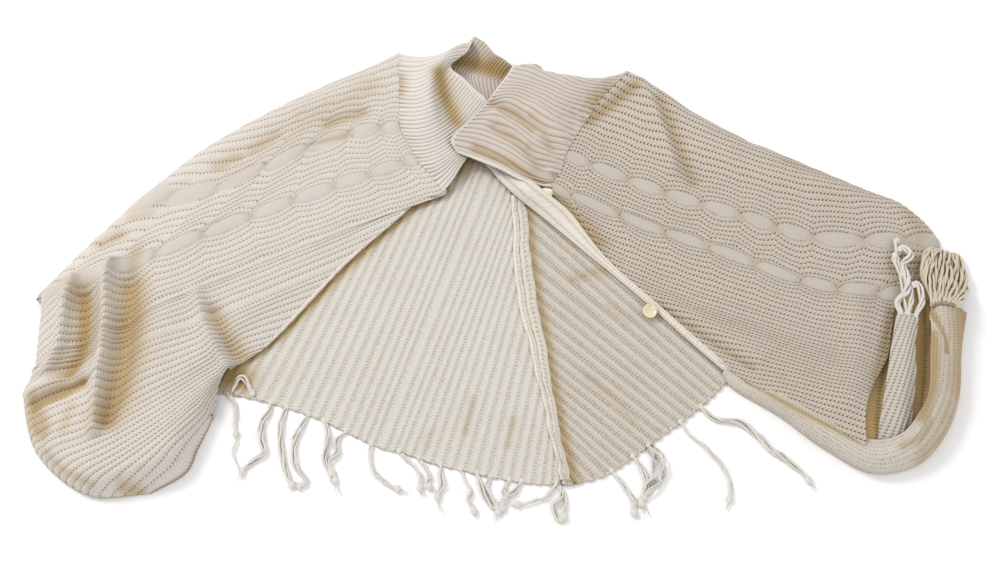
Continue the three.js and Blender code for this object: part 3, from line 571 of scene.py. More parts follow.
backRight = {
    **back, "name": "backRight", "nodes": ["back_right"], "material": backRightLook,
    "sheet": {"flat": (0.44, 0.46), "held": "laid", "rests_on": ["floor"], "area": 0.155},
    "shadows": [
        shadeAlong([[40, 118], [49, 1], [66, -117], [80, -220], [96, -300]], 8, 0.85),
        shadeAlong([[104, 2], [128, 12], [146, 16]], 8, 0.4),
        shadeAlong([[66, 152], [84, 112], [112, 70]], 14, 1),
        shadeAlong([[118, -150], [150, -180], [178, -214]], 6, 0.3),
        shadeAlong([[150, -40], [176, -64]], 6, 0.25),
    ],
    "rows": [
        (3, [[89, -290, 3], [95, -303, 3]]),
        (6, [[76, -220, 3], [141, -288, 3]]),
        (5, [[63, -117, 3], [203, -243, 3]]),
        (4, [[46, 1, 3], [258, -201, 3]]),
        (3, [[38, 109, 3], [298, -163, 3]]),
        (4, [[40, 150, 3], [330, -125, 3]]),
        (8, [[110, 225, 3], [400, -90, 3]]),
        (1, [[230, 265, 3], [500, -50, 3]]),
    ],
}
cloth(backLeft)
cloth(backRight)

# Left front
frontLeft = {
    "name": "frontLeft", "nodes": ["front_left"], "slot": "body_knit", "material": leftLook,
    "steps": 230, "perRib": 7, "ribHeight": 0.85, "stitch": 5.4, "radius": 24,
    "sheet": {"flat": (0.50, 0.66), "held": "folded", "rests_on": ["floor", "backLeft"], "area": 0.26},
    "rounded": [[0, 0, 1, 0], [1, 0, 1, 1], [0.15, 1, 1, 1]],
    "rows": [
        (5, [[-155, 406, 16], [-185, 386, 16], [-216, 369, 17], [-247, 353, 17], [-280, 336, 18]]),
        (6, [[-149, 320, 16], [-213, 304, 17], [-280, 281, 18], [-349, 252, 19], [-422, 237, 20]]),
        (5, [[-144, 258, 15], [-235, 240, 17], [-334, 186, 20], [-430, 134, 24], [-526, 126, 26]]),
        (2, [[-125, 218, 14], [-239, 176, 16], [-361, 116, 21], [-477, 49, 34], [-634, -19, 30]]),
        (7, [[-117, 201, 14], [-241, 148, 16], [-372, 86, 22], [-497, 12, 38], [-633, -39, 34]]),
        (2, [[-77, 145, 10], [-215, 90, 14], [-353, 21, 20], [-485, -59, 36], [-627, -132, 26]]),
        (2, [[-114, 131, 9], [-236, 62, 14], [-362, -3, 21], [-488, -77, 36], [-629, -145, 25]]),
        (3, [[-152, 92, 9], [-262, 32, 14], [-371, -26, 22], [-491, -94, 37], [-631, -157, 24]]),
        (8, [[-217, 22, 7.6], [-297, -22, 15], [-387, -73, 24], [-498, -130, 38], [-635, -183, 22]]),
        (8, [[-310, -99, 7.6], [-373, -130, 20], [-439, -185, 36], [-510, -231, 42], [-603, -262, 30]]),
        (5, [[-367, -147, 12], [-392, -198, 34], [-430, -247, 44], [-478, -286, 40], [-529, -318, 34]]),
        (1, [[-378, -200, 14], [-384, -223, 30], [-395, -254, 40], [-407, -288, 36], [-450, -316, 30]]),
    ],
    "folds": [
        foldAlong([[-535, 9], [-540, -24], [-532, -77], [-529, -127], [-528, -176], [-523, -225],
            [-523, -243]], 9, 17),
        foldAlong([[-508, -27], [-505, -82], [-503, -142], [-506, -193], [-512, -229]], 17, -13, 0.85),
        foldAlong([[-587, -15], [-592, -51], [-591, -89], [-591, -117], [-602, -150]], 9, 12),
        foldAlong([[-567, -41], [-560, -89], [-559, -127], [-570, -157]], 14, -12, 0.95),
        foldAlong([[-621, -184], [-603, -176], [-578, -167], [-538, -157]], 8, 7),
        foldAlong([[-613, -200], [-595, -193], [-575, -186], [-550, -172]], 9, -9, 0.9),
        foldAlong([[-613, -205], [-600, -222], [-592, -240]], 14, -6, 0.75),
        foldAlong([[-415, -36], [-400, -82], [-380, -115], [-366, -142]], 10, 10),
        foldAlong([[-390, -60], [-372, -97], [-354, -123]], 12, -7, 0.65),
        foldAlong([[-482, -312], [-461, -315]], 8, -8, 0.6),
        foldAlong([[-603, -236], [-577, -279], [-543, -308], [-497, -318], [-441, -312], [-406, -293]], 5,
            -4),
        foldAlong([[-590, -268], [-560, -300], [-520, -322], [-470, -326], [-425, -318]], 5, 4),
        foldAlong([[-408, 180], [-381, 198]], 12, -4, 0.5),
        foldAlong([[-363, 210], [-329, 239]], 12, -4, 0.5),
        foldAlong([[-257, 262], [-204, 284]], 12, -5, 0.6),
        foldAlong([[-274, 223], [-219, 241]], 6, -3, 0.45),
        foldAlong([[-300, 285], [-250, 305], [-205, 330]], 14, 4),
        foldAlong([[-557, 45], [-534, 58]], 12, -5, 0.5),
        foldAlong([[-524, 89], [-494, 98]], 8, -2, 0.35),
        foldAlong([[-505, -12], [-507, 12], [-503, 26]], 13, -4, 0.5),
        foldAlong([[-455, -40], [-462, -100], [-468, -160]], 26, 4),
    ],
    "shadows": [
        shadeAlong([[-503, -30], [-494, -80], [-490, -140], [-496, -190], [-508, -225]], 22, 0.85),
        shadeAlong([[-572, -40], [-556, -70], [-556, -120], [-575, -155]], 22, 0.6),
        shadeAlong([[-600, -190], [-560, -172]], 13, 0.6),
        shadeAlong([[-616, -190], [-612, -215], [-600, -236]], 13, 0.75),
        shadeAlong([[-560, -210], [-565, -240]], 10, 0.35),
        shadeAlong([[-590, -262], [-560, -292], [-520, -312]], 5, 0.45),
        shadeAlong([[-400, 170], [-300, 250], [-200, 330]], 26, 0.22),
        shadeAlong([[-385, -70], [-368, -100], [-350, -120]], 14, 0.5),
    ],
    "ovals": [
        {"row": 2, "calm": 0.5, "height": 1.7, "length": 420,
            "pinches": [0, 0.09, 0.22, 0.37, 0.52, 0.69, 0.86, 1.02]},
        {"row": 4, "height": 1.7, "length": 560, "pinches": [0, 0.047, 0.147, 0.247, 0.355, 0.465, 0.59,
            0.714, 0.82, 0.93, 1.04]},
    ],
}
cloth(frontLeft)

# Right front
frontRight = {
    "name": "frontRight", "nodes": ["front_right"], "slot": "body_knit", "material": rightLook,
    "steps": 220, "perRib": 7, "ribHeight": 0.9, "stitch": 5.4, "radius": 20,
    "sheet": {"flat": (0.48, 0.58), "held": "laid", "rests_on": ["floor", "backRight"], "area": 0.215},
    "drift": [0, 5, 10, 16, 21, 23, 34, 42, 49, 56],
    "rounded": [[0, 0, 1, 0], [1, 0, 1, 0.37]],
    "rows": [
        (5, [[199, 367, 16], [243, 334, 17], [286, 295, 17], [330, 263, 16], [373, 237, 14]]),
        (5, [[150, 312, 16], [234, 269, 17], [324, 225, 16], [420, 188, 14], [523, 157, 13]]),
        (6, [[116, 257, 15], [223, 206, 16], [336, 162, 15], [456, 125, 14], [586, 123, 12]]),
        (5, [[92, 211, 14], [211, 151, 15], [332, 106, 15], [456, 64, 14], [623, 63, 12]]),
        (2, [[81, 169, 12], [202, 105, 14], [321, 56, 15], [442, 7, 16], [596, 2, 13]]),
        (9, [[70, 150, 12], [199, 87, 13], [316, 36, 15], [436, -16, 17], [550, -34, 16]]),
        (6, [[136, 44, 8], [225, -6, 12], [319, -48, 15], [420, -91, 20], [523, -121, 20]]),
        (6, [[202, -32, 8], [268, -62, 13], [339, -95, 17], [421, -134, 22], [499, -164, 22]]),
        (6, [[262, -97, 8], [314, -124, 14], [368, -148, 19], [426, -175, 23], [481, -202, 22]]),
        (1, [[318, -154, 12], [351, -178, 16], [392, -198, 19], [432, -230, 23], [473, -261, 24]]),
    ],
    "folds": [
        foldAlong([[212, 340], [219, 318], [231, 283], [242, 238], [251, 179]], 11, 7),
        foldAlong([[241, 306], [258, 238], [280, 159]], 11, -5, 0.5),
        foldAlong([[202, 332], [167, 298], [134, 269]], 13, -5, 0.7),
        foldAlong([[221, -44], [280, -94], [338, -142]], 6, -3, 0.45),
        foldAlong([[236, -38], [292, -84], [350, -128]], 9, 3),
        foldAlong([[106, 64], [123, 36], [139, 20]], 10, -3, 0.55),
        foldAlong([[491, -41], [479, -118], [461, -192]], 18, 6),
        foldAlong([[538, -60], [520, -110], [495, -180]], 9, -3, 0.6),
        foldAlong([[300, 215], [345, 190], [420, 160], [500, 148]], 16, 3),
        foldAlong([[420, 195], [500, 165], [560, 145]], 10, -2, 0.25),
        foldAlong([[590, 110], [596, 70], [575, 30]], 16, -2, 0.35),
    ],
    "shadows": [shadeAlong([[88, 120], [112, 92], [138, 58]], 15, 0.7)],
    "ovals": [
        {"row": 3, "height": 1.7, "length": 560, "pinches": [0, 0.086, 0.199, 0.308, 0.413, 0.524, 0.627,
            0.728, 0.843, 0.93, 1.04]},
        {"row": 5, "height": 1.7, "length": 510, "pinches": [0, 0.063, 0.195, 0.323, 0.453, 0.583, 0.708,
            0.814, 0.934, 1.02]},
    ],
}
cloth(frontRight)

# Hidden layers under both fronts, a fixed way below them
# The hidden layers are darkened evenly with painted shade (shade 0.3)
hidden = {"across": (0.28, 0.93), "acrossSteps": 30, "ribSteps": 40, "below": 4.6, "lowest": 5.2,
    "shade": 0.3}


def hiddenLayer(name, host, node, under, lastRib, flat, area):
    us = np.linspace(*hidden["across"], hidden["acrossSteps"])
    ribs = np.linspace(6, lastRib, hidden["ribSteps"])
    p = layOut(host, us, ribs)
    n, flip = normalsOf(p)
    p = p - n * hidden["below"]
    p[..., 2] = np.maximum(p[..., 2], hidden["lowest"])
    made = addMesh(name, p.reshape(-1, 3), gridFaces(len(us), len(ribs), flip), backLeftLook,
                   evenShade(len(us) * len(ribs), hidden["shade"]),
                   np.stack(np.meshgrid(us * 60, ribs, indexing="ij"), -1))
    finishPiece(made, [node], "inner_knit", {"flat": flat, "held": "folded", "rests_on": [under],
        "area": area})


hiddenLayer("hiddenLeft", frontLeft, "inner_left", "backLeft", 38, (0.35, 0.42), 0.13)
hiddenLayer("hiddenRight", frontRight, "inner_right", "backRight", 42, (0.33, 0.38), 0.11)

# Collar
collarLeft = {
    "name": "collarLeft", "nodes": ["collar_left"], "slot": "collar_knit", "material": collarLook,
    "steps": 100, "perRib": 8, "ribHeight": 0.7, "stitch": 4.2, "radius": 14, "uneven": 0.5,
    "sheet": {"flat": (0.27, 0.14), "held": "folded", "rests_on": ["frontLeft"], "area": 0.035},
    "rounded": [[0, 0, 1, 0]], "sewnTo": frontLeft, "lip": 0.5,
    "rows": [
        (4, [[-153, 400, 12], [-122, 393, 18], [-90, 394, 26], [-64, 411, 30], [-40, 422, 28]]),
        (5, [[-152, 360, 13], [-124, 350, 26], [-99, 352, 40], [-75, 372, 42], [-49, 384, 34]]),
        (5, [[-149, 322, 14], [-125, 306, 34], [-104, 310, 45], [-90, 335, 36], [-74, 355, 34]]),
        (5, [[-146, 283, 15], [-121, 268, 36], [-99, 272, 42], [-81, 304, 20], [-54, 332, 34]]),
        (5, [[-142, 247, 15], [-116, 234, 32], [-91, 242, 36], [-67, 278, 19], [-37, 312, 33]]),
        (5, [[-133, 211, 14], [-108, 206, 26], [-83, 216, 30], [-53, 251, 22], [-19, 292, 31]]),
        (6, [[-110, 178, 13], [-93, 180, 20], [-73, 192, 26], [-48, 219, 26], [-15, 255, 28]]),
        (1, [[-74, 143, 12], [-65, 160, 16], [-54, 184, 20], [-39, 209, 22], [-19, 236, 22]]),
    ],
    "shadows": [
        shadeAlong([[-92, 338], [-84, 310], [-72, 282], [-66, 262]], 13, 1),
        shadeAlong([[-150, 345], [-149, 318]], 10, 0.5),
        shadeAlong([[-70, 385], [-55, 395]], 9, 0.4),
    ],
}
collarRight = {
    "name": "collarRight", "nodes": ["collar_right"], "slot": "collar_knit", "material": lapelLook,
    "steps": 110, "perRib": 9, "ribHeight": 0.8, "stitch": 4.2, "radius": 14, "uneven": 0.7,
    "sheet": {"flat": (0.27, 0.17), "held": "folded", "rests_on": ["frontRight", "collarLeft"],
        "area": 0.038},
    "rounded": [[0, 0, 0.7, 0]], "sewnTo": frontRight, "lip": 1.1, "drift": [6.5, 9.6, 15, 19, 22.8, 25],
    "ribScale": 1.14,
    "rows": [
        (6, [[197, 360, 14], [145, 350, 20], [103, 356, 26], [60, 363, 30], [20, 357, 32]]),
        (6, [[152, 323, 15], [108, 317, 25], [72, 323, 32], [36, 327, 36], [4, 324, 38]]),
        (5, [[119, 272, 16], [78, 272, 30], [44, 286, 34], [12, 292, 38], [-24, 277, 41]]),
        (5, [[93, 221, 16], [55, 220, 32], [21, 241, 33], [-15, 250, 38], [-47, 246, 40]]),
        (3, [[73, 175, 15], [39, 178, 28], [4, 199, 32], [-32, 212, 36], [-71, 219, 36]]),
        (1, [[65, 148, 13], [33, 152, 22], [0, 171, 26], [-33, 187, 28], [-62, 200, 28]]),
    ],
    "folds": [
        foldAlong([[-8, 281], [27, 265], [47, 243]], 10, -6, 0.5),
        foldAlong([[-6, 266], [16, 240], [34, 214]], 8, 5),
        foldAlong([[-6, 240], [20, 222], [37, 203], [52, 182]], 10, -5, 0.4),
        foldAlong([[45, 262], [62, 240], [72, 215]], 10, -4, 0.35),
        foldAlong([[50, 285], [75, 262], [92, 235]], 9, 3),
        foldAlong([[-34, 204], [17, 180], [54, 157]], 8, -4, 0.7),
        foldAlong([[140, 300], [165, 325]], 14, -3, 0.6),
    ],
}
collarBack = {
    "name": "collarBack", "nodes": ["collar_back"], "slot": "collar_knit", "material": lapelLook,
    "steps": 60, "perRib": 10, "ribHeight": 0.6, "stitch": 4.2, "uneven": 0.2,
    "sheet": {"flat": (0.1, 0.13), "held": "folded", "rests_on": ["floor"], "area": 0.0085},
    "rows": [
        (3, [[-76, 362, 10], [-76, 373, 11], [-69, 385, 12], [-55, 403, 18], [-40, 419, 28]]),
        (4, [[-54, 340, 10], [-62, 360, 12], [-52, 381, 11], [-37, 397, 16], [-24, 406, 28]]),
        (4, [[-36, 322, 10], [-44, 352, 12], [-34, 366, 10], [-21, 377, 16], [-9, 384, 28]]),
        (4, [[-14, 304, 10], [-20, 346, 12], [-13, 357, 10], [-6, 368, 16], [4, 374, 28]]),
        (1, [[14, 300, 9], [4, 340, 12], [8, 350, 11], [13, 356, 16], [21, 357, 27]]),
    ],
    "shadows": [shadeAlong([[-62, 382], [-30, 374], [10, 356]], 15, 1)],
}
cloth(collarLeft)
cloth(collarBack)
cloth(collarRight)

# Turned-up hem end of the right front
turnup = {
    "name": "turnupRoll", "nodes": ["turnup_right"], "slot": "body_knit", "material": rollLook,
    "steps": 60, "perRib": 10, "lengthwise": 11, "ribHeight": 0.35, "stitch": 4.6, "uneven": 0.9,
    "fade": False,
    "sheet": {"flat": (0.46, 0.075), "held": "folded", "rests_on": ["floor"], "area": 0.031},
    "rows": [
        (1, [[304, -136, 8], [302, -141, 9], [299, -145, 7], [298, -146, 2]]),
        (2, [[325, -148, 9], [319, -162, 13], [315, -169, 9], [314, -169, 0.5]]),
        (3, [[374, -176, 13], [371, -196, 24], [370, -206, 15], [369, -207, 0.5]]),
        (3, [[434, -212, 15], [428, -238, 29], [422, -251, 17], [419, -250, 0.5]]),
        (3, [[480, -244, 15], [479, -272, 31], [481, -289, 18], [480, -287, 0.5]]),
        (3, [[520, -240, 20], [528, -256, 34], [541, -274, 20], [540, -278, 0.5]]),
        (3, [[546, -214, 30], [557, -218, 38], [581, -236, 22], [582, -238, 0]]),
        (3, [[564, -180, 32], [577, -181, 41], [604, -184, 24], [610, -184, 0]]),
        (3, [[575, -121, 34], [590, -118, 42], [618, -108, 27], [629, -104, 4]]),
        (1, [[584, -59, 38], [598, -60, 43], [622, -60, 33], [638, -60, 18]]),
    ],
    "folds": [
        foldAlong([[583, -62], [590, -88], [596, -112], [594, -130]], 5, -5, 0.9),
        foldAlong([[618, -70], [616, -120], [606, -170], [580, -222], [545, -262]], 14, -2, 0.45),
        foldAlong([[560, -228], [545, -250], [520, -262]], 7, -4, 0.6),
        foldAlong([[470, -256], [420, -228], [370, -194], [330, -160]], 5, -2, 0.9),
    ],
    "shadows": [
        shadeAlong([[636, -64], [632, -120], [618, -180]], 30, 1.0),
        shadeAlong([[606, -200], [582, -240], [548, -276]], 16, 0.6),
        shadeAlong([[580, -104], [577, -140], [569, -180], [548, -224]], 9, 0.85),
    ],
}
tongue = {
    "name": "turnupTongue", "nodes": ["turnup_tongue", "inner_turnup"], "slot": "body_knit",
    "material": tongueLook, "drift": [-3.8, -2.3, -0.8],
    "steps": 110, "perRib": 22, "ribScale": 1.6, "ribHeight": 0.8, "stitch": 4.6, "uneven": 0.5,
    "fade": False,
    "sheet": {"flat": (0.045, 0.19), "held": "folded", "rests_on": ["floor"], "area": 0.0075},
    "rows": [
        (1.5, [[490, -262, 6], [497, -222, 17], [508, -179, 26], [522, -123, 31], [536, -72, 35]]),
        (1.5, [[514, -262, 9], [522, -216, 24], [532, -166, 35], [542, -119, 38], [552, -74, 38]]),
        (1, [[536, -256, 6], [543, -207, 16], [552, -157, 26], [556, -116, 31], [566, -77, 34]]),
    ],
}
turnValley = {
    "name": "turnupValley", "nodes": ["inner_turnup"], "slot": "inner_knit", "material": valleyLook,
    "steps": 60, "perRib": 8, "ribHeight": 0.5, "stitch": 5.0, "uneven": 0.3, "fade": False,
    "sheet": {"flat": (0.12, 0.26), "held": "folded", "rests_on": ["floor"], "area": 0.028},
    "rows": [
        (3, [[470, -262, 8], [480, -200, 9], [505, -110, 9], [545, 4, 8]]),
        (3, [[520, -262, 9], [540, -200, 10], [558, -110, 10], [584, 26, 9]]),
        (1, [[540, -262, 8], [590, -196, 9], [612, -110, 9], [620, 8, 9]]),
    ],
    "shadows": [shadeAlong([[500, -250], [560, -160], [575, -60]], 40, 0.3)],
}
cloth(turnup)
cloth(tongue)
cloth(turnValley)


# Swept pieces: rings of points joined into one mesh
def sweep(rings):
    rings = np.asarray(rings)
    steps, sides = rings.shape[:2]
    faces = []
    for i in range(steps - 1):
        for j in range(sides):
            k = (j + 1) % sides
            faces.append([i * sides + j, i * sides + k, (i + 1) * sides + k, (i + 1) * sides + j])
    faces.append(list(range(sides))[::-1])
    faces.append([(steps - 1) * sides + j for j in range(sides)])
    return rings.reshape(-1, 3), faces


def frameAlong(path):
    path = np.asarray(path)
    t = np.gradient(path, axis=0)
    t /= np.maximum(np.linalg.norm(t, axis=1, keepdims=True), 1e-9)
    side = np.cross(t, [0, 0, 1.0])
    side /= np.maximum(np.linalg.norm(side, axis=1, keepdims=True), 1e-9)
    return t, side, np.cross(side, t)


def roundTube(path, radius, sides):
    t, side, up = frameAlong(path)
    angle = np.linspace(0, 2 * np.pi, sides, endpoint=False)[None, :, None]
    ring = np.cos(angle) * side[:, None] + np.sin(angle) * up[:, None]
    return sweep(np.asarray(path)[:, None] + radius[:, None, None] * ring)


def sweptUvs(around, sides, along):
    return np.stack([np.tile(np.linspace(0, around, sides), len(along)), np.repeat(along, sides)], -1)


# Seam turnings: both halves' edges stand up side by side along the centre back
seam = {
    "left": [[18, 140], [21, 92], [25, -15], [43, -106], [62, -201], [78, -284], [83, -304]],
    "right": [[33, 140], [37, 109], [45, 1], [62, -117], [75, -220], [88, -290], [93, -304]],
    "steps": 220, "between": 0.34, "apart": 0.6, "spreadLeft": 2.4, "spreadRight": 2.5,
}


def turning(name, node, a, b, phase, material, high):
    t = np.linspace(0, 1, seam["steps"])
    left, right = spline(a, t), spline(b, t)
    rings = []
    for k in range(seam["steps"]):
        ripple = 0.8 * math.sin(k * 0.42 + phase) + 0.4 * math.sin(k * 0.17)
        sway = np.array([0.8 * math.sin(k * 0.19 + phase * 0.4) + 0.5 * math.sin(k * 0.43), 0])
        rise = high + 0.5 * math.sin(k * 1.1 + phase)
        one, two = left[k] + sway, right[k] + sway
        rings.append([[*one, 0.4], [*(one - [ripple, 0]), rise - 1.8], [*(one * 0.7 + two * 0.3), rise],
                      [*(one * 0.3 + two * 0.7), rise - 0.2], [*two, rise - 2.2], [*two, 0.4]])
    points, faces = sweep(rings)
    made = addMesh(name, points, faces, material, evenShade(len(points)), sweptUvs(2, 6, t * 90))
    finishPiece(made, [node], "body_knit", {"flat": (0.018, 0.45), "held": "folded", "rests_on": ["floor"]})


seamLeft, seamRight = np.array(seam["left"]), np.array(seam["right"])
middle = seamLeft * (1 - seam["between"]) + seamRight * seam["between"]
gap = [seam["apart"] / 2, 0]
turning("seamTurningLeft", "seam_turning_left", seamLeft - [seam["spreadLeft"], 0], middle + gap, 0.0,
        bandLook, 7.8)
turning("seamTurningRight", "seam_turning_right", middle - gap, seamRight + [seam["spreadRight"], 0], 0.6,
        seamLook, 6.4)

# Buttonhole band, turned under: a rolled edge beside the left front
bandLeft = {
    "ribs": (28.2, 47.0), "steps": 160, "out": 3.0, "height": 6.6, "radius": 2.8, "uneven": 0.25,
    "sides": 8,
    "sheet": {"flat": (0.0105, 0.39), "held": "folded", "rests_on": ["backLeft"]},
}
edge = layOut(frontLeft, [0], np.linspace(*bandLeft["ribs"], bandLeft["steps"]))[0]
_, side, _ = frameAlong(edge)
roll = edge + side * bandLeft["out"]
roll[:, 2] = bandLeft["height"]
k = np.arange(bandLeft["steps"])
points, faces = roundTube(roll, bandLeft["radius"] + bandLeft["uneven"] * np.sin(k * 0.9),
    bandLeft["sides"])
made = addMesh("bandLeft", points, faces, bandLook, evenShade(len(points)),
    sweptUvs(2, bandLeft["sides"], k * 0.6))
finishPiece(made, ["band_left"], "band_knit", bandLeft["sheet"])

# Button band: its upper and lower edges, from the neck to the hem
bandRight = {
    "edges": [
        ([8, 187, 15], [-32, 204, 9]),
        ([32, 168, 17], [-16, 186, 9]),
        ([49, 150, 24], [3, 160, 9.5]),
        ([64, 134, 27], [26, 134, 9.5]),
        ([99, 105, 18], [60, 102, 8.5]),
        ([122, 72, 13], [97, 67, 6.2]),
        ([141, 43, 12], [130, 34, 6]),
        ([166, 12, 11], [159, 6, 6]),
        ([214, -38, 10.5], [208, -44, 6]),
        ([268, -96, 10.5], [262, -102, 6]),
        ([319, -149, 11], [313, -155, 6]),
    ],
    "steps": 240, "halfWall": 1.2, "crown": 0.9, "ripple": 0.3, "bulge": 5.5, "bulgeAt": 3 / 10,
    "bulgeLength": 0.08,
    "sheet": {"flat": (0.018, 0.46), "held": "folded", "rests_on": ["backRight", "frontRight"]},
}
t = np.linspace(0, 1, bandRight["steps"])
upper, lower = (spline([row[i] for row in bandRight["edges"]], t) for i in range(2))
across = upper - lower
across /= np.linalg.norm(across, axis=1, keepdims=True)
n = np.array([0, 0, 1.0]) - across * across[:, 2:3]
n /= np.linalg.norm(n, axis=1, keepdims=True)
wall = bandRight["halfWall"]
crown = bandRight["bulge"] * np.exp(-((t - bandRight["bulgeAt"]) / bandRight["bulgeLength"]) ** 2)
crown = (bandRight["crown"] + crown + bandRight["ripple"] * np.sin(t * 260))[:, None]  # over the upper button
rings = [lower + (upper - lower) * s + n * (wall + crown * math.sin(math.pi * s)) for s in (0, 0.2, 0.4,
    0.6, 0.8, 1)]
points, faces = sweep(np.stack([lower - n * wall] + rings + [upper - n * wall], 1)[:, ::-1])
made = addMesh("bandRight", points, faces, bandLook, evenShade(len(points)), sweptUvs(3, 8, t * 120))
finishPiece(made, ["band_right"], "band_knit", bandRight["sheet"])
print("stage: bands and seams")

# Fringe: loosely twisted bundles of yarn made by one Geometry Nodes tree. Its points are lines of
# yarn, each with its place in the bundle (lane, spread), its size and how loose it is, and knots.
rng = np.random.default_rng(7)
treeInputs = {"Yarn radius": 0.0011, "Twist": 190.0, "Wander": 0.0042, "Knot size": 0.0030}


def bundleTree(material):
    tree = bpy.data.node_groups.new("yarnBundles", "GeometryNodeTree")
    face = tree.interface
    face.new_socket("Geometry", in_out="INPUT", socket_type="NodeSocketGeometry")
    for name, value in treeInputs.items():
        socket = face.new_socket(name, in_out="INPUT", socket_type="NodeSocketFloat")
        socket.default_value = value
    face.new_socket("Geometry", in_out="OUTPUT", socket_type="NodeSocketGeometry")
    nodes, links = tree.nodes, tree.links
    start, end = nodes.new("NodeGroupInput"), nodes.new("NodeGroupOutput")

    def put(socket, value):
        if isinstance(value, bpy.types.NodeSocket):
            links.new(value, socket)
        else:
            socket.default_value = value

    def add(kind, values, out=0):
        node = nodes.new(kind)
        for key, value in values.items():
            put(node.inputs[key], value)
        return node.outputs[out]

    def named(name):
        return add("GeometryNodeInputNamedAttribute", {"Name": name})

    def calc(operation, a, b=0.0):
        node = nodes.new("ShaderNodeMath")
        node.operation = operation
        put(node.inputs[0], a)
        put(node.inputs[1], b)
        return node.outputs[0]

    def vector(operation, a, b=None, scale=None):
        node = nodes.new("ShaderNodeVectorMath")
        node.operation = operation
        put(node.inputs[0], a)
        if b is not None:
            put(node.inputs[1], b)
        if scale is not None:
            put(node.inputs["Scale"], scale)
        return node.outputs[0]

    # Each yarn winds round its bundle's line, and wanders
    split = nodes.new("GeometryNodeSeparateGeometry")
    put(split.inputs["Geometry"], start.outputs["Geometry"])
    put(split.inputs["Selection"], calc("GREATER_THAN", named("knot"), 0.5))
    yarns = add("GeometryNodeMeshToCurve", {"Mesh": split.outputs["Inverted"]})
    normal = add("GeometryNodeInputNormal", {})
    across = vector("CROSS_PRODUCT", add("GeometryNodeInputTangent", {}), normal)
    run = add("GeometryNodeSplineParameter", {}, "Length")
    angle = calc("ADD", named("lane"), calc("MULTIPLY", run, start.outputs["Twist"]))
    ring = vector("ADD", vector("SCALE", normal, scale=calc("COSINE", angle)),
                  vector("SCALE", across, scale=calc("SINE", angle)))
    offset = vector("SCALE", ring, scale=named("spread"))
    place = add("GeometryNodeInputPosition", {})
    noise = nodes.new("ShaderNodeTexNoise")
    noise.noise_dimensions = "4D"
    for key, value in (("Vector", place), ("W", calc("MULTIPLY", named("lane"), 0.12)), ("Scale", 75.0),
                       ("Detail", 2.0)):
        put(noise.inputs[key], value)
    drift = vector("SUBTRACT", noise.outputs["Color"], (0.5, 0.5, 0.5))
    drift = vector("SCALE", vector("SCALE", drift, scale=start.outputs["Wander"]), scale=named("loose"))
    moved = add("GeometryNodeSetPosition", {"Geometry": yarns, "Offset": vector("ADD", offset, drift)})

    # None goes below the floor
    apart = nodes.new("ShaderNodeSeparateXYZ")
    put(apart.inputs[0], place)
    height = calc("MAXIMUM", apart.outputs[2], 0.0014)
    above = add("ShaderNodeCombineXYZ", {"X": apart.outputs[0], "Y": apart.outputs[1], "Z": height})
    moved = add("GeometryNodeSetPosition", {"Geometry": moved, "Position": above})
    profile = nodes.new("GeometryNodeCurvePrimitiveCircle")
    put(profile.inputs["Resolution"], 6)
    put(profile.inputs["Radius"], start.outputs["Yarn radius"])
    tube = nodes.new("GeometryNodeCurveToMesh")
    put(tube.inputs["Curve"], add("GeometryNodeSetCurveRadius", {"Curve": moved, "Radius": named("size")}))
    put(tube.inputs["Profile Curve"], profile.outputs["Curve"])
    put(tube.inputs["Fill Caps"], True)
    if "Scale" in tube.inputs:
        put(tube.inputs["Scale"], named("size"))

    # A dented ball at each knot
    ball = add("GeometryNodeMeshIcoSphere", {"Radius": start.outputs["Knot size"], "Subdivisions": 3})
    knots = add("GeometryNodeInstanceOnPoints", {
        "Points": split.outputs["Selection"], "Instance": ball,
        "Scale": vector("SCALE", (1.0, 1.3, 0.7), scale=named("size"))})
    lumps = add("GeometryNodeRealizeInstances", {"Geometry": knots})
    dent = add("ShaderNodeTexVoronoi", {"Scale": 420.0, "Vector": place}, "Distance")
    dent = calc("MULTIPLY", calc("SUBTRACT", dent, 0.35), -0.0016)
    lumps = add("GeometryNodeSetPosition", {"Geometry": lumps,
        "Offset": vector("SCALE", normal, scale=dent)})
    join = nodes.new("GeometryNodeJoinGeometry")
    links.new(tube.outputs["Mesh"], join.inputs[0])
    links.new(lumps, join.inputs[0])
    smooth = add("GeometryNodeSetShadeSmooth", {"Geometry": join.outputs[0]})
    solid = add("GeometryNodeRealizeInstances", {"Geometry": smooth})
    links.new(add("GeometryNodeSetMaterial", {"Geometry": solid, "Material": material}), end.inputs[0])
    return tree


bundles = bundleTree(yarnLook)
braids = bundleTree(braidLook)


# A strand is a bundle of yarns along a path, with a knot at its start and one at its tied share,
# where thin tails leave it
usualStrand = {"yarns": 3, "spread": 1.9, "tied": 0.84, "knot": 1.25, "tails": 3, "hairs": 5, "size": 1.0}
strandHeight, strandSteps = 3.2, 50


def strand(path, **own):
    path = np.array([[x, y, z[0] if z else strandHeight] for x, y, *z in path], float)
    return {**usualStrand, **own, "path": path}


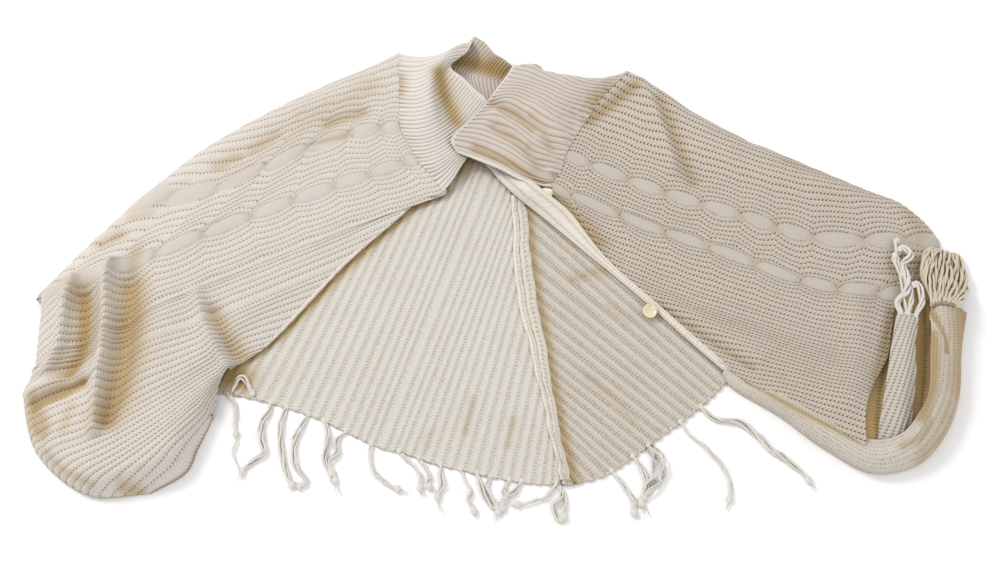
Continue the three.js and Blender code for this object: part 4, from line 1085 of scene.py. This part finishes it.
def fringe(name, node, backing, strands, sizes, tree=bundles):
    points, edges, lane, size, loose, spread, knot = [], [], [], [], [], [], []

    def yarn(path, phase, thick, free, apart):
        first = len(points)
        points.extend(path)
        edges.extend([first + i, first + i + 1] for i in range(len(path) - 1))
        lane.extend([phase] * len(path))
        size.extend(np.broadcast_to(thick, len(path)))
        loose.extend(np.broadcast_to(free, len(path)))
        spread.extend(np.broadcast_to(apart, len(path)) * 0.001)
        knot.extend([0.0] * len(path))

    def tie(at, big):
        points.append(at)
        for values, value in ((lane, 0), (size, big), (loose, 0), (spread, 0), (knot, 1)):
            values.append(value)

    for turn in range(2):  # the backing: two cast-off yarns wound round each other
        yarn(backing, turn * math.pi, 0.7, 0.3, 0.5)
    for row in strands:
        path = row["path"]
        path[0] = backing[np.argmin(np.linalg.norm(backing[:, :2] - path[0, :2], axis=1))]
        whole = spline(path, np.linspace(0, 1, strandSteps))
        body = whole[: int(strandSteps * row["tied"]) + 1]
        k = np.linspace(0, 1, len(body))
        bulge = 1.35 * row["spread"] * (0.35 + 0.65 * np.sin(np.pi * np.clip(k * 1.04, 0, 1)) ** 0.6)
        for number in range(row["yarns"]):
            yarn(body, number * 2.1 + rng.uniform(0, 1), row["size"], 1.0, bulge)
        tie(whole[0] + [0, 0, 1.0], 0.9)
        tie(body[-1], row["knot"])
        for _ in range(row["tails"]):
            tail = whole[len(body) - 2:].copy()
            grow = np.linspace(0, 1, len(tail))[:, None]
            tail[:, :2] += grow * rng.uniform(-1, 1, 2) * 5
            tail[:, :2] += np.sin(grow * rng.uniform(3, 8)) * rng.uniform(-1.6, 1.6, 2)
            yarn(tail, rng.uniform(0, 6), np.linspace(0.55, 0.22, len(tail)), 1.0, 0.5)
        for _ in range(row["hairs"]):  # loose fibres beside the bundle
            a = rng.integers(4, max(6, len(body) - 12))
            hair = body[a:a + 9].copy()
            hair[:, :2] += np.linspace(0, 1, len(hair))[:, None] ** 2 * rng.uniform(-1, 1, 2) * 9
            yarn(hair, rng.uniform(0, 6), 0.16, 1.0, 1.6)
    mesh = bpy.data.meshes.new(name + "Lines")
    mesh.from_pydata(((np.array(points) + shift) * 0.001).tolist(), edges, [])
    for key, values in (("lane", lane), ("size", size), ("loose", loose), ("spread", spread),
        ("knot", knot)):
        values = np.array(values, np.float32)
        mesh.attributes.new(key, "FLOAT", "POINT").data.foreach_set("value", values)
    lines = show(bpy.data.objects.new(name + "Lines", mesh))
    modifier = lines.modifiers.new("bundles", "NODES")
    modifier.node_group = tree
    for item in tree.interface.items_tree:
        if item.item_type == "SOCKET" and item.in_out == "INPUT" and item.name in sizes:
            modifier[item.identifier] = float(sizes[item.name])
    bpy.context.view_layer.update()
    made = lines.evaluated_get(bpy.context.evaluated_depsgraph_get())
    piece = show(bpy.data.objects.new(name, bpy.data.meshes.new_from_object(made)))
    bpy.data.objects.remove(lines)
    finishPiece(piece, [node], "yarn")
    print("stage:", name, len(piece.data.polygons) * 2, "triangles at most")


def hemLine(piece, rib0, rib1, count, out=-1.2, z=1.6):  # a backing along the piece's last row of stitches
    ribs = np.linspace(rib0, rib1, count)
    p = layOut(piece, [1], ribs)[0]
    inside = layOut(piece, [0.9], ribs)[0]
    _, side, _ = frameAlong(p)
    side = np.where(((inside - p) * side).sum(1, keepdims=True) > 0, -side, side)
    p = p + side * out
    p[:, 2] = z
    return p


fringeLeft = [
    strand([[-358, -161], [-362, -175], [-352, -192], [-350, -215], [-346, -241], [-348, -262],
        [-336, -292]], yarns=2, spread=1.1, hairs=7, tied=0.6),
    strand([[-358, -161, 5], [-349, -154, 9], [-340, -158, 8], [-333, -171, 5], [-328, -178]], tails=0),
    strand([[-305, -186], [-307, -202], [-314, -216], [-313, -240], [-307, -258], [-322, -272],
        [-334, -286], [-337, -300]], yarns=4, spread=2.3),
    strand([[-284, -197], [-288, -211], [-288, -240], [-284, -262], [-278, -284], [-270, -303],
        [-256, -309]], tails=1),
    strand([[-255, -208], [-262, -222], [-270, -246], [-268, -268], [-262, -282], [-250, -298],
        [-258, -306], [-268, -300]], spread=2.0, knot=1.2),
    strand([[-236, -220], [-226, -232], [-228, -254], [-228, -272], [-220, -286], [-214, -296]],
        spread=1.8),
    strand([[-206, -232], [-214, -243], [-212, -258], [-222, -272], [-216, -286], [-212, -302],
        [-206, -316]], tied=0.78),
    strand([[-169, -248], [-170, -262], [-168, -276], [-160, -290], [-148, -300], [-134, -309],
        [-118, -312]], yarns=2, spread=1.5),
    strand([[-133, -260], [-122, -270], [-112, -280], [-104, -292], [-104, -304], [-98, -320]], yarns=2,
        spread=1.4),
    strand([[-107, -269], [-98, -280], [-92, -292], [-94, -303], [-86, -310]], yarns=2, spread=1.6),
    strand([[-79, -281], [-76, -292], [-74, -306], [-80, -322], [-74, -342]], spread=1.8, tied=0.72),
    strand([[-53, -292], [-44, -302], [-38, -314], [-42, -324], [-34, -336], [-32, -350]], yarns=2,
        spread=1.4),
    strand([[-32, -296], [-24, -310], [-18, -322], [-10, -334], [-2, -338], [-6, -352]], spread=1.7),
    strand([[-12, -297], [-18, -306], [-14, -320], [-6, -332], [-1, -338]], yarns=2, spread=1.6),
    strand([[10, -303], [4, -312], [8, -322], [0, -332], [-12, -330]], yarns=2, spread=1.6, knot=1.2),
    strand([[26, -307], [18, -314], [8, -320], [2, -332], [8, -340]], spread=1.6),
    strand([[72, -308], [58, -319], [44, -325], [30, -330], [12, -331]], yarns=2, spread=1.3),
    strand([[81, -311], [78, -322], [68, -332], [72, -346], [76, -352], [84, -340]], spread=1.8, knot=1.3,
        tails=2),
    strand([[84, -311], [84, -326], [80, -340], [84, -354]], yarns=2, spread=1.2),
]
fringeRight = [
    strand([[150, -293], [158, -302], [166, -316], [172, -326], [170, -340], [176, -346]], spread=1.6,
        knot=1.4),
    strand([[196, -252], [206, -268], [204, -292], [190, -312], [184, -330], [188, -348]], yarns=11,
        spread=6.5, size=0.75, tied=0.68, hairs=6),
    strand([[178, -270], [186, -286], [190, -304], [182, -322], [180, -338]], spread=1.8, knot=1.4),
    strand([[243, -221], [250, -236], [266, -250], [280, -266], [292, -284], [298, -304], [294, -324],
        [286, -340]], yarns=2, spread=1.5, hairs=4),
    strand([[273, -201], [284, -212], [304, -214], [322, -220], [340, -238], [356, -256], [376, -272],
        [394, -290], [406, -312]], yarns=5, spread=2.6, tied=0.9, hairs=6),
]
fringeWall = []  # a thick tassel over the end of the turned-up wall
for k in range(17):
    out, back = (k % 9) / 8, k // 9  # two layers of bundles, the outer ones fall over the edge
    bend = 1.8 * math.sin(k * 2.3)
    fringeWall.append(strand([
        [587 + 32 * out, -61, 39 - 8 * out - 4 * back],
        [588 + 46 * out + bend, -40 + 3 * back, 36 - 14 * out - 4 * back],
        [586 + 60 * out - bend, -12 + 4 * back, 33 - 23 * out - 5 * back],
        [590 + 58 * out + bend, 16 + 3 * back, 27 - 20 * out - 5 * back],
        [600 + 44 * out - bend, 40 - 3 * back - 7 * (out - 0.4) ** 2, 18 - 12 * out - 3 * back],
        [612 + 30 * out, 47 - 5 * back - 12 * out, 10 - 5 * out],
    ], yarns=4, spread=2.7, tied=0.96, tails=2, hairs=4, knot=0.8, size=1.2))
fringeTongue = [
    strand([[543, -73, 34], [540, -52, 34], [556, -34, 34], [560, -12, 32], [557, 8, 30], [572, 26, 28],
        [563, 40, 26], [556, 34, 26]], yarns=5, spread=2.6, size=1.2, tied=0.93),
    strand([[551, -73, 34], [560, -50, 33], [562, -28, 32], [552, -2, 30], [548, 22, 28], [558, 32, 26]],
        spread=1.8),
    strand([[562, -74, 33], [574, -52, 34], [574, -34, 36], [569, -24, 37], [564, -32, 36]], yarns=4,
        spread=2.2, size=1.1, tails=1),
    strand([[562, 30, 26], [554, 42, 24], [560, 54, 20]], yarns=2, spread=0.8),
]
s = np.linspace(0, 1, 30)
wallHem = spline([[583, -59.4, 37], [597, -57.6, 42], [618, -57.6, 34], [632, -57.6, 22]], s)
tongueHem = spline([[538, -69.6, 33.5], [552, -71, 36.5], [564, -74, 33]], s)
thin = {"Yarn radius": 0.0015, "Twist": 50, "Wander": 0.0055, "Knot size": 0.0036}
thick = {"Yarn radius": 0.0017, "Twist": 70, "Wander": 0.0055, "Knot size": 0.0034}
fringe("fringeBackLeft", "fringe_back_left", hemLine(backLeft, 23, 55.6, 240), fringeLeft, thin)
fringe("fringeBackRight", "fringe_back_right", hemLine(backRight, 0.4, 20.8, 180), fringeRight, thin)
fringe("fringeTurnupRight", "fringe_turnup_right", wallHem, fringeWall, thick, braids)
fringe("fringeTurnupTongue", "fringe_turnup_tongue", tongueHem, fringeTongue, thick)


# Buttons
pearlColours = ((0.3, (0.62, 0.50, 0.27, 1)), (0.7, (0.86, 0.79, 0.60, 1)))


def pearlMaterial():
    material = bpy.data.materials.new("pearl")
    material.use_nodes = True
    nodes, links = material.node_tree.nodes, material.node_tree.links
    shader = nodes["Principled BSDF"]
    coords = nodes.new("ShaderNodeTexCoord")
    cloud = nodes.new("ShaderNodeTexNoise")
    cloud.inputs["Scale"].default_value = 120
    ramp = nodes.new("ShaderNodeValToRGB")
    for stop, (place, colour) in zip(ramp.color_ramp.elements, pearlColours):
        stop.position, stop.color = place, colour
    links.new(coords.outputs["Object"], cloud.inputs["Vector"])
    links.new(cloud.outputs["Fac"], ramp.inputs["Fac"])
    links.new(ramp.outputs["Color"], shader.inputs["Base Color"])
    shader.inputs["Roughness"].default_value = 0.22
    shader.inputs["Coat Weight"].default_value = 0.5
    return material


buttonShape = {
    "profile": [[0.01, 0.7], [2.6, 0.6], [5.6, 0.5], [7.2, 1.1], [8.2, 1.6], [9.3, 1.45], [9.9, 0.7],
        [10, -0.3],
                [8.6, -1.5], [0.01, -1.6]],  # radius and height
    "profileSteps": 40, "sides": 64, "hole": 2.2, "thread": 0.9,
}
upperButton = {"place": [66, 134, 21.8], "tilt": -0.2}
pearl = pearlMaterial()


def button(name, node, place, tilt):
    curve = spline(buttonShape["profile"], np.linspace(0, 1, buttonShape["profileSteps"]))
    a = np.linspace(0, 2 * math.pi, buttonShape["sides"], endpoint=False)
    rings = np.stack([np.stack([r * np.cos(a), r * np.sin(a), np.full(len(a), z)], -1) for r,
        z in curve])[::-1]
    points, faces = sweep(rings)
    thread = buttonShape["thread"]
    for x in (-buttonShape["hole"], buttonShape["hole"]):
        stitch = np.stack([x + thread * np.cos(a[::4]), thread * np.sin(a[::4]),
            np.full(len(a[::4]), 0.9)], -1)
        faces.append(list(range(len(points), len(points) + len(stitch))))
        points = np.concatenate([points, stitch])
    turn = np.array([[1, 0, 0], [0, math.cos(tilt), -math.sin(tilt)], [0, math.sin(tilt), math.cos(tilt)]])
    made = addMesh(name, points @ turn.T + place, faces, pearl)
    finishPiece(made, [node], "pearl")


button("buttonUpper", "button_upper", **upperButton)
button("buttonLower", "button_lower", **lowerButton)
print("stage: fringe and buttons")

# Floor, light and camera
studio = {
    "floor": 6, "floorHeight": -0.0004, "paper": (0.95, 0.95, 0.95, 1),
    "key": {"place": (-2.2, 1.4, 2.6), "size": 1.2, "power": 62},
    "fill": {"place": (2.0, -1.8, 3.0), "size": 3.0, "power": 22},
    "air": 0.78, "lens": 50, "sensor": 36, "behind": 0.972, "above": 1.6836, "down": 30,
}
half, under = studio["floor"], studio["floorHeight"]
floorMesh = bpy.data.meshes.new("floor")
floorMesh.from_pydata([[x, y, under] for x, y in ((-half, -half), (half, -half), (half, half),
    (-half, half))], [],
                      [[0, 1, 2, 3]])
floor = show(bpy.data.objects.new("floor", floorMesh))
paper = bpy.data.materials.new("paper")
paper.use_nodes = True
for socket, value in (("Base Color", studio["paper"]), ("Roughness", 1), ("Specular IOR Level", 0)):
    paper.node_tree.nodes["Principled BSDF"].inputs[socket].default_value = value
floorMesh.materials.append(paper)


def softLight(name, place, size, power):
    data = bpy.data.lights.new(name, "AREA")
    data.shape = "DISK"
    data.size = size
    data.energy = power
    lamp = show(bpy.data.objects.new(name, data))
    lamp.location = place
    lamp.rotation_euler = (-Vector(place)).to_track_quat("-Z", "Y").to_euler()
    return lamp


key = softLight("key", **studio["key"])
fill = softLight("fill", **studio["fill"])
world = bpy.data.worlds.new("studio")
bpy.context.scene.world = world
world.use_nodes = True
world.node_tree.nodes["Background"].inputs["Color"].default_value = (1, 1, 1, 1)
world.node_tree.nodes["Background"].inputs["Strength"].default_value = studio["air"]

cameraData = bpy.data.cameras.new("camera")
cameraData.lens = studio["lens"]
cameraData.sensor_width = studio["sensor"]
camera = show(bpy.data.objects.new("camera", cameraData))
camera.location = (shift[0] * 0.001, shift[1] * 0.001 - studio["behind"], studio["above"])
camera.rotation_euler = (math.radians(studio["down"]), 0, 0)
bpy.context.scene.camera = camera
bpy.context.scene.view_settings.view_transform = "Standard"
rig.stage(floor, key, fill)

newLow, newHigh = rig.bounds()
with open("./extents.json", "w") as out:
    json.dump({"cad": [list(cadLow), list(cadHigh)], "visual": [list(newLow), list(newHigh)]}, out)
